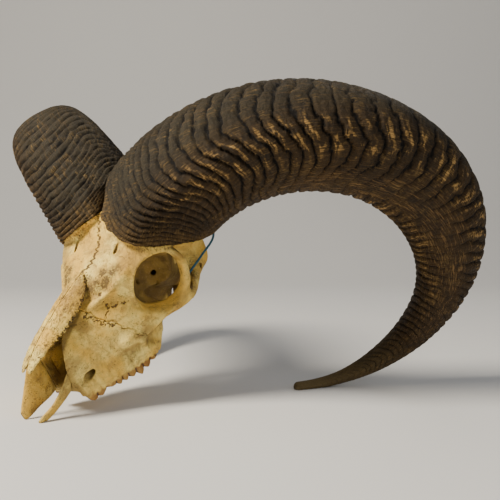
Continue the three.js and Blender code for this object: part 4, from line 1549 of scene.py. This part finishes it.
class RAM_OT_premaxillae(Operator):
    """Build the two thin blades at the muzzle's tip"""

    bl_idname = "ram.premaxillae"
    bl_label = "Premaxillae"

    def execute(self, context):
        step = context.scene.ram_bone.fine_step * 750
        for side, rows in PREMAXILLA_ROWS.items():
            field = Field((2, 1, -5), (23, 49, 58), step)
            field.add(muzzle_blade(rows, rows[0][0], PREMAXILLA_JOIN))
            floor = FLOOR / math.cos(PITCH)
            field.keep(lambda x, y, z: floor + MUZZLE_LIFT - z - y * math.tan(PITCH) + 0 * x)
            points, faces = main_body(*field.surface())
            points = settle(field, points)
            numbers = bone_numbers(field, points, np.full(len(points), 0.05))
            if side == "right":
                points, faces = flipped(points, faces)
            material = bone_material("Greyed Bone", porous=0.35, grime=0.18)
            finish_bone(f"premaxilla_{side}_bone", f"premaxilla_{side}", points, faces, numbers, material)
        return {"FINISHED"}


def horn_frames():
    """The middle line of the left horn: points, headings, and the sides that it bends to."""
    along, bend_to = horn_start()
    point = np.array(HORN["root"], float)
    steps = HORN["rings"] - 1
    root, middle, tip = HORN["bend"]
    rows = []
    for i in range(steps + 1):
        t = i / steps
        rows.append((point, along, bend_to))
        rate = root * (1 - t) ** 2 + 2 * middle * t * (1 - t) + tip * t * t
        bend = math.radians(rate) / steps
        twist = math.radians(np.interp(t, (0, 1), HORN["twist"])) / steps
        axis = np.cross(along, bend_to)
        point = point + turned(along, axis, bend / 2) * HORN["length"] / steps
        along, bend_to = turned(along, axis, bend), turned(bend_to, axis, bend)
        bend_to = turned(bend_to, along, twist)
    return rows


def hill(degrees, centre, low_width, high_width):
    """1 at an angle round the horn, falling off on both sides."""
    offset = (degrees - centre + 180) % 360 - 180
    return np.exp(-((offset / np.where(offset < 0, low_width, high_width)) ** 2))


def growth_phase(length, degrees, part, side):
    """Number of the growth ridge at each place, with the S-shaped sweep of the ridges."""
    marks = np.linspace(-80, HORN["length"] + 80, 400)
    steps = read_rows(HORN["ridge_steps"], np.clip(marks / HORN["length"], 0, 1))[:, 0]
    count = np.cumsum(1 / steps) * (marks[1] - marks[0])
    factor, width = HORN["side_sweep"][side]
    height = np.interp(part, (0, 0.08, 0.25, 0.42, 0.52), (17, 20, 19, 13, 0)) * factor
    behind = np.interp(part, (0.02, 0.06), (60, 23))
    sweep = height * hill(degrees, 90, width, behind)
    front_sweep = HORN["front_sweep"] * np.interp(part, (0.2, 0.4), (1, 0.2))
    sweep = sweep + front_sweep * hill(degrees, -38, 27, 28)
    sweep = sweep + np.interp(part, (0.48, 0.58), (0, 17)) * np.cos(np.radians(degrees))
    return np.interp(length - sweep, marks, count)


# How high the ridges stand: part of the length, share of the ridge height
RIDGE_STRENGTH = [
    [0, 0.8], [0.02, 0.9], [0.08, 1], [0.3, 1], [0.5, 0.75], [0.7, 0.6], [0.86, 0.4], [0.95, 0.2],
    [1, 0],
]


def horn_numbers(length, above, degrees, side):
    """What the growth tree and the horn's material read at each length and height above the rim."""
    part = np.clip(length / HORN["length"], 0, 1)
    radius = read_rows(HORN["half_sizes"], part)[:, 0]
    front = hill(degrees, -15, 75, 58)
    under = hill(degrees, 128, 24, 60)
    smooth = hill(degrees, np.interp(part, (0.42, 0.55), (128, 116)), 25, 29)
    smooth = smooth * np.interp(part, (0.2, 0.27, 0.42, 0.5, 0.72, 0.85), (0.35, 1, 1, 0.9, 0.8, 0))
    strength = read_line(part, RIDGE_STRENGTH)
    smoother = np.interp(part, (0.05, 0.2, 0.33, 0.6, 0.8), (0.05, 0.2, 0.9, 0.75, 0.3))
    strength = strength * (1 - front * smoother)
    flatter = np.interp(part, (0, 0.05, 0.6, 0.75), (0.2, 0.5, 0.4, 0))
    strength = strength * (1 - under * flatter) * (1 - 0.9 * smooth)
    # where the crests take the worn colour with its painted highlight
    gold = hill(degrees, 66, 26, 27) * np.interp(part, (0.02, 0.09, 0.42, 0.6, 0.8), (0.35, 1, 1, 0.8, 0.5))
    nubs = hill(degrees, 160, 24, 30) * np.interp(part, (0.3, 0.4, 0.6, 0.75), (0, 0.9, 0.8, 0.3))
    return {
        "growth": growth_phase(length, degrees, part, side),
        "strength": np.maximum(strength, nubs * 0.5),
        "gold": np.maximum(gold, nubs),
        "front": front,
        "under": np.maximum(under * 0.7, smooth),
        "around_x": np.cos(np.radians(degrees)) * radius * 1.1,
        "around_y": np.sin(np.radians(degrees)) * radius * 1.1,
        "length": length * 0.12,
        "closed": np.interp(above, (0, 2, 600, 650), (0, 1, 0.6, 0)),
        "root": np.interp(above, (0, 8, 24), (0.9, 0.6, 0)),
        "tip": np.interp(part, (0.78, 0.96), (0, 1)),
    }


def horn_mesh(name, side):
    """A smooth sheath with its growth marks stored as numbers."""
    frames = horn_frames()
    sides = HORN["sides"]
    angle = np.arange(sides) / sides * 2 * math.pi
    normal = np.array(HORN["seat_normal"]) / np.linalg.norm(HORN["seat_normal"])
    first = frames[0][1]
    rings, grown, parts = [], [], np.linspace(0, 1, len(frames))
    for t, (point, along, bend_to) in zip(parts, frames):
        depth, breadth = read_rows(HORN["half_sizes"], [t])[0]
        rounding = max(t - HORN["tip_start"], 0) / HORN["tip_round"]
        close = math.sqrt(max(1 - rounding**2, 0))
        depth, breadth = depth * close, breadth * close
        power = 2 / np.interp(min(2 * t, 1), (0, 1), HORN["squareness"])
        outward, across = horn_section(along, bend_to, t)
        out = np.sign(np.cos(angle)) * np.abs(np.cos(angle)) ** power
        wide = np.sign(np.sin(angle)) * np.abs(np.sin(angle)) ** power * (1 + HORN["keel"] * out)
        ring = point + np.outer(out * depth, outward) + np.outer(wide * breadth, across)
        length = np.full(sides, t * HORN["length"])
        if t < HORN["seat_part"]:
            height = seat_height(*ring.T)
            lowest = HORN["seat_rise"] * t
            move = (lowest - height) / (first @ normal)
            move = move if t == 0 else np.maximum(move, 0)
            ring = ring + np.outer(move, first)
            length += move
        grown.append(length)
        gap = HORN["inner_gap"] + HORN["gap_slope"] * np.maximum(HORN["gap_top"] - ring[:, 2], 0)
        ring[:, 0] = np.maximum(ring[:, 0], gap)
        rings.append(ring)
    skirt = np.linspace(0, 1, HORN["skirt"], endpoint=False)[:, None]  # fills the side over the seat
    rings = np.concatenate([rings[0] + skirt[:, :, None] * (rings[1] - rings[0]), rings[1:]])
    grown = np.concatenate([grown[0] + skirt * (grown[1] - grown[0]), grown[1:]])
    points = rings.reshape(-1, 3)
    row, column = np.meshgrid(np.arange(len(rings) - 1), np.arange(sides), indexing="ij")
    a, b = row * sides + column, row * sides + (column + 1) % sides
    quads = np.stack([a, b, b + sides, a + sides], -1).reshape(-1, 4)
    caps = []
    for start, turn in ((0, 1), (len(points) - sides, -1)):
        ring = np.arange(start, start + sides)
        points = np.vstack([points, points[ring].mean(0)])
        caps.append(np.stack([np.full(sides, len(points) - 1), np.roll(ring, -turn), ring], 1))
    faces = [quads, np.vstack(caps)]
    above = np.append(grown - grown[0], (0, HORN["length"]))
    turn = np.append(np.tile(angle, len(rings)), (0, 0))
    degrees = (np.degrees(turn) + 180) % 360 - 180
    numbers = horn_numbers(np.append(grown, (0, HORN["length"])), above, degrees, side)
    if side == "right":
        points = points * (-1, 1, 1)
        faces = [face[:, ::-1] for face in faces]
    return new_mesh(name, points, faces, numbers)


class RAM_OT_horns(Operator):
    """Build the two horn sheaths with their growth ridges"""

    bl_idname = "ram.horns"
    bl_label = "Horns"

    def execute(self, context):
        settings = context.scene.ram_horn
        material = new_material("Horn Sheath", horn_finish(settings))
        tree = ridge_tree()
        for side in ("left", "right"):
            piece = link(f"horn_{side}_sheath", horn_mesh(f"horn_{side}_sheath", side))
            run_tree(piece, tree, {
                "Ridge Height": settings.ridge_height, "Fibre Height": settings.fibre_height,
                "Wobble": settings.wobble, "Seed": settings.seed, "Material": material,
            })
            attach(piece, "root")
            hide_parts(f"horn_{side}")
        return {"FINISHED"}


class RAM_OT_cord(Operator):
    """Build the twisted cord that is looped round the skull"""

    bl_idname = "ram.cord"
    bl_label = "Cord"

    def execute(self, context):
        settings = context.scene.ram_cord
        left = [np.array(point, float) for point in TIE_ROUTE]
        right = [point * (-1, 1, 1) for point in reversed(left[1:])]
        route = spline(left + right, TIE_KNOTS, closed=True)
        mesh = bpy.data.meshes.new("tie_cord_strands")
        edges = [(i, (i + 1) % len(route)) for i in range(len(route))]
        mesh.from_pydata(to_object_frame(route).tolist(), edges, [])
        piece = link("tie_cord_strands", mesh)
        run_tree(piece, cord_tree(), {
            "Diameter": settings.diameter, "Turns": settings.turns, "Steps": TIE_STEPS,
            "Material": new_material("Blue Cord", cord_finish(settings)),
        })
        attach(piece, "root")
        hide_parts("tie_cord")
        return {"FINISHED"}


# Disc lights: place in metres, diameter, colour. All of them shine at LIT_POINT
LIT_POINT = (0.0, 0.0, 0.15)
KEY_LAMP = ((-0.55, -1.25, 1.35), 0.6, (1.0, 0.92, 0.78))
FILL_LAMP = ((1.5, -0.3, 0.8), 1.2, (0.93, 0.96, 1.0))
RIM_LAMP = ((-0.3, 1.2, 1.1), 0.8, (1.0, 0.98, 0.95))
RIM_SHARE = 0.4  # power of the rim light, as a part of the fill light's
SKY_COLOUR = (0.90, 0.93, 1.0, 1)

# The camera, in millimetres and degrees in the object's frame
CAMERA_PLACE = (593.7, SHIFT - 454.2, 194.9 - FLOOR)
CAMERA_AZIMUTH = 37
CAMERA_TILT = -2.72
FOCAL_PIXELS = 800
FRAME_PIXELS = 500
SENSOR = 36


def area_light(name, lamp_facts, power):
    place, size, colour = lamp_facts
    data = bpy.data.lights.new(name, "AREA")
    data.shape = "DISK"
    data.size = size
    data.energy = power
    data.color = colour
    lamp = bpy.data.objects.new(name, data)
    lamp.location = place
    lamp.rotation_euler = (Vector(LIT_POINT) - Vector(place)).to_track_quat("-Z", "Y").to_euler()
    bpy.context.scene.collection.objects.link(lamp)


class RAM_OT_studio(Operator):
    """Build the floor, the lights and the camera"""

    bl_idname = "ram.studio"
    bl_label = "Studio"

    def execute(self, context):
        settings = context.scene.ram_studio
        half, behind, rise, curve = 4.0, 2.2, 3.0, 12
        profile = [(-half, 0.0), (behind - 1, 0.0)]
        for i in range(1, curve + 1):
            angle = i / curve * math.pi / 2
            profile.append((behind - 1 + math.sin(angle), 1 - math.cos(angle)))
        profile.append((behind, rise))
        points = [(x, y, z) for y, z in profile for x in (-half, half)]
        faces = [(2 * i, 2 * i + 1, 2 * i + 3, 2 * i + 2) for i in range(len(profile) - 1)]
        mesh = bpy.data.meshes.new("paper_sweep")
        mesh.from_pydata(points, [], faces)
        mesh.transform(Euler((0, 0, math.radians(CAMERA_AZIMUTH))).to_matrix().to_4x4())
        mesh.shade_smooth()
        floor = link("paper_sweep", mesh)
        mesh.materials.append(new_material("Pale Paper", floor_finish(settings)))
        area_light("key", KEY_LAMP, settings.key_power)
        area_light("fill", FILL_LAMP, settings.fill_power)
        area_light("rim", RIM_LAMP, settings.fill_power * RIM_SHARE)
        world = bpy.data.worlds.new("Soft Room")
        world.use_nodes = True
        background = world.node_tree.nodes["Background"]
        background.inputs["Color"].default_value = SKY_COLOUR
        background.inputs["Strength"].default_value = settings.sky
        context.scene.world = world
        data = bpy.data.cameras.new("view")
        data.sensor_width = SENSOR
        data.lens = SENSOR * FOCAL_PIXELS / FRAME_PIXELS
        data.clip_start, data.clip_end = 0.05, 20
        camera = bpy.data.objects.new("view", data)
        camera.location = Vector(CAMERA_PLACE) / 1000
        camera.rotation_euler = (
            math.radians(90 + CAMERA_TILT), 0, math.radians(CAMERA_AZIMUTH),
        )
        context.scene.collection.objects.link(camera)
        context.scene.camera = camera
        return {"FINISHED"}


class RAM_PT_panel(Panel):
    """Lists the pieces and their sizes"""

    bl_idname = "RAM_PT_panel"
    bl_label = "Ram Skull"
    bl_space_type = "VIEW_3D"
    bl_region_type = "UI"
    bl_category = "Ram Skull"

    def draw(self, context):
        for name in ("ram_bone", "ram_horn", "ram_cord", "ram_studio"):
            settings = getattr(context.scene, name)
            box = self.layout.box()
            for key in settings.__annotations__:
                box.prop(settings, key)
        for operator in OPERATORS:
            self.layout.operator(operator.bl_idname)


SETTINGS = {
    "ram_bone": RamBoneSettings,
    "ram_horn": RamHornSettings,
    "ram_cord": RamCordSettings,
    "ram_studio": RamStudioSettings,
}
OPERATORS = (
    RAM_OT_studio, RAM_OT_cord, RAM_OT_cranium, RAM_OT_upper_jaws, RAM_OT_nasals, RAM_OT_premaxillae,
    RAM_OT_horns,
)


def register():
    for name, group in SETTINGS.items():
        bpy.utils.register_class(group)
        setattr(bpy.types.Scene, name, PointerProperty(type=group))
    for kind in (*OPERATORS, RAM_PT_panel):
        bpy.utils.register_class(kind)


def unregister():
    for kind in (RAM_PT_panel, *reversed(OPERATORS)):
        bpy.utils.unregister_class(kind)
    for name, group in reversed(SETTINGS.items()):
        delattr(bpy.types.Scene, name)
        bpy.utils.unregister_class(group)


def main():
    """Builds every piece in order."""
    register()
    for operator in OPERATORS:
        group, name = operator.bl_idname.split(".")
        getattr(getattr(bpy.ops, group), name)()


if __name__ == "__main__":
    main()
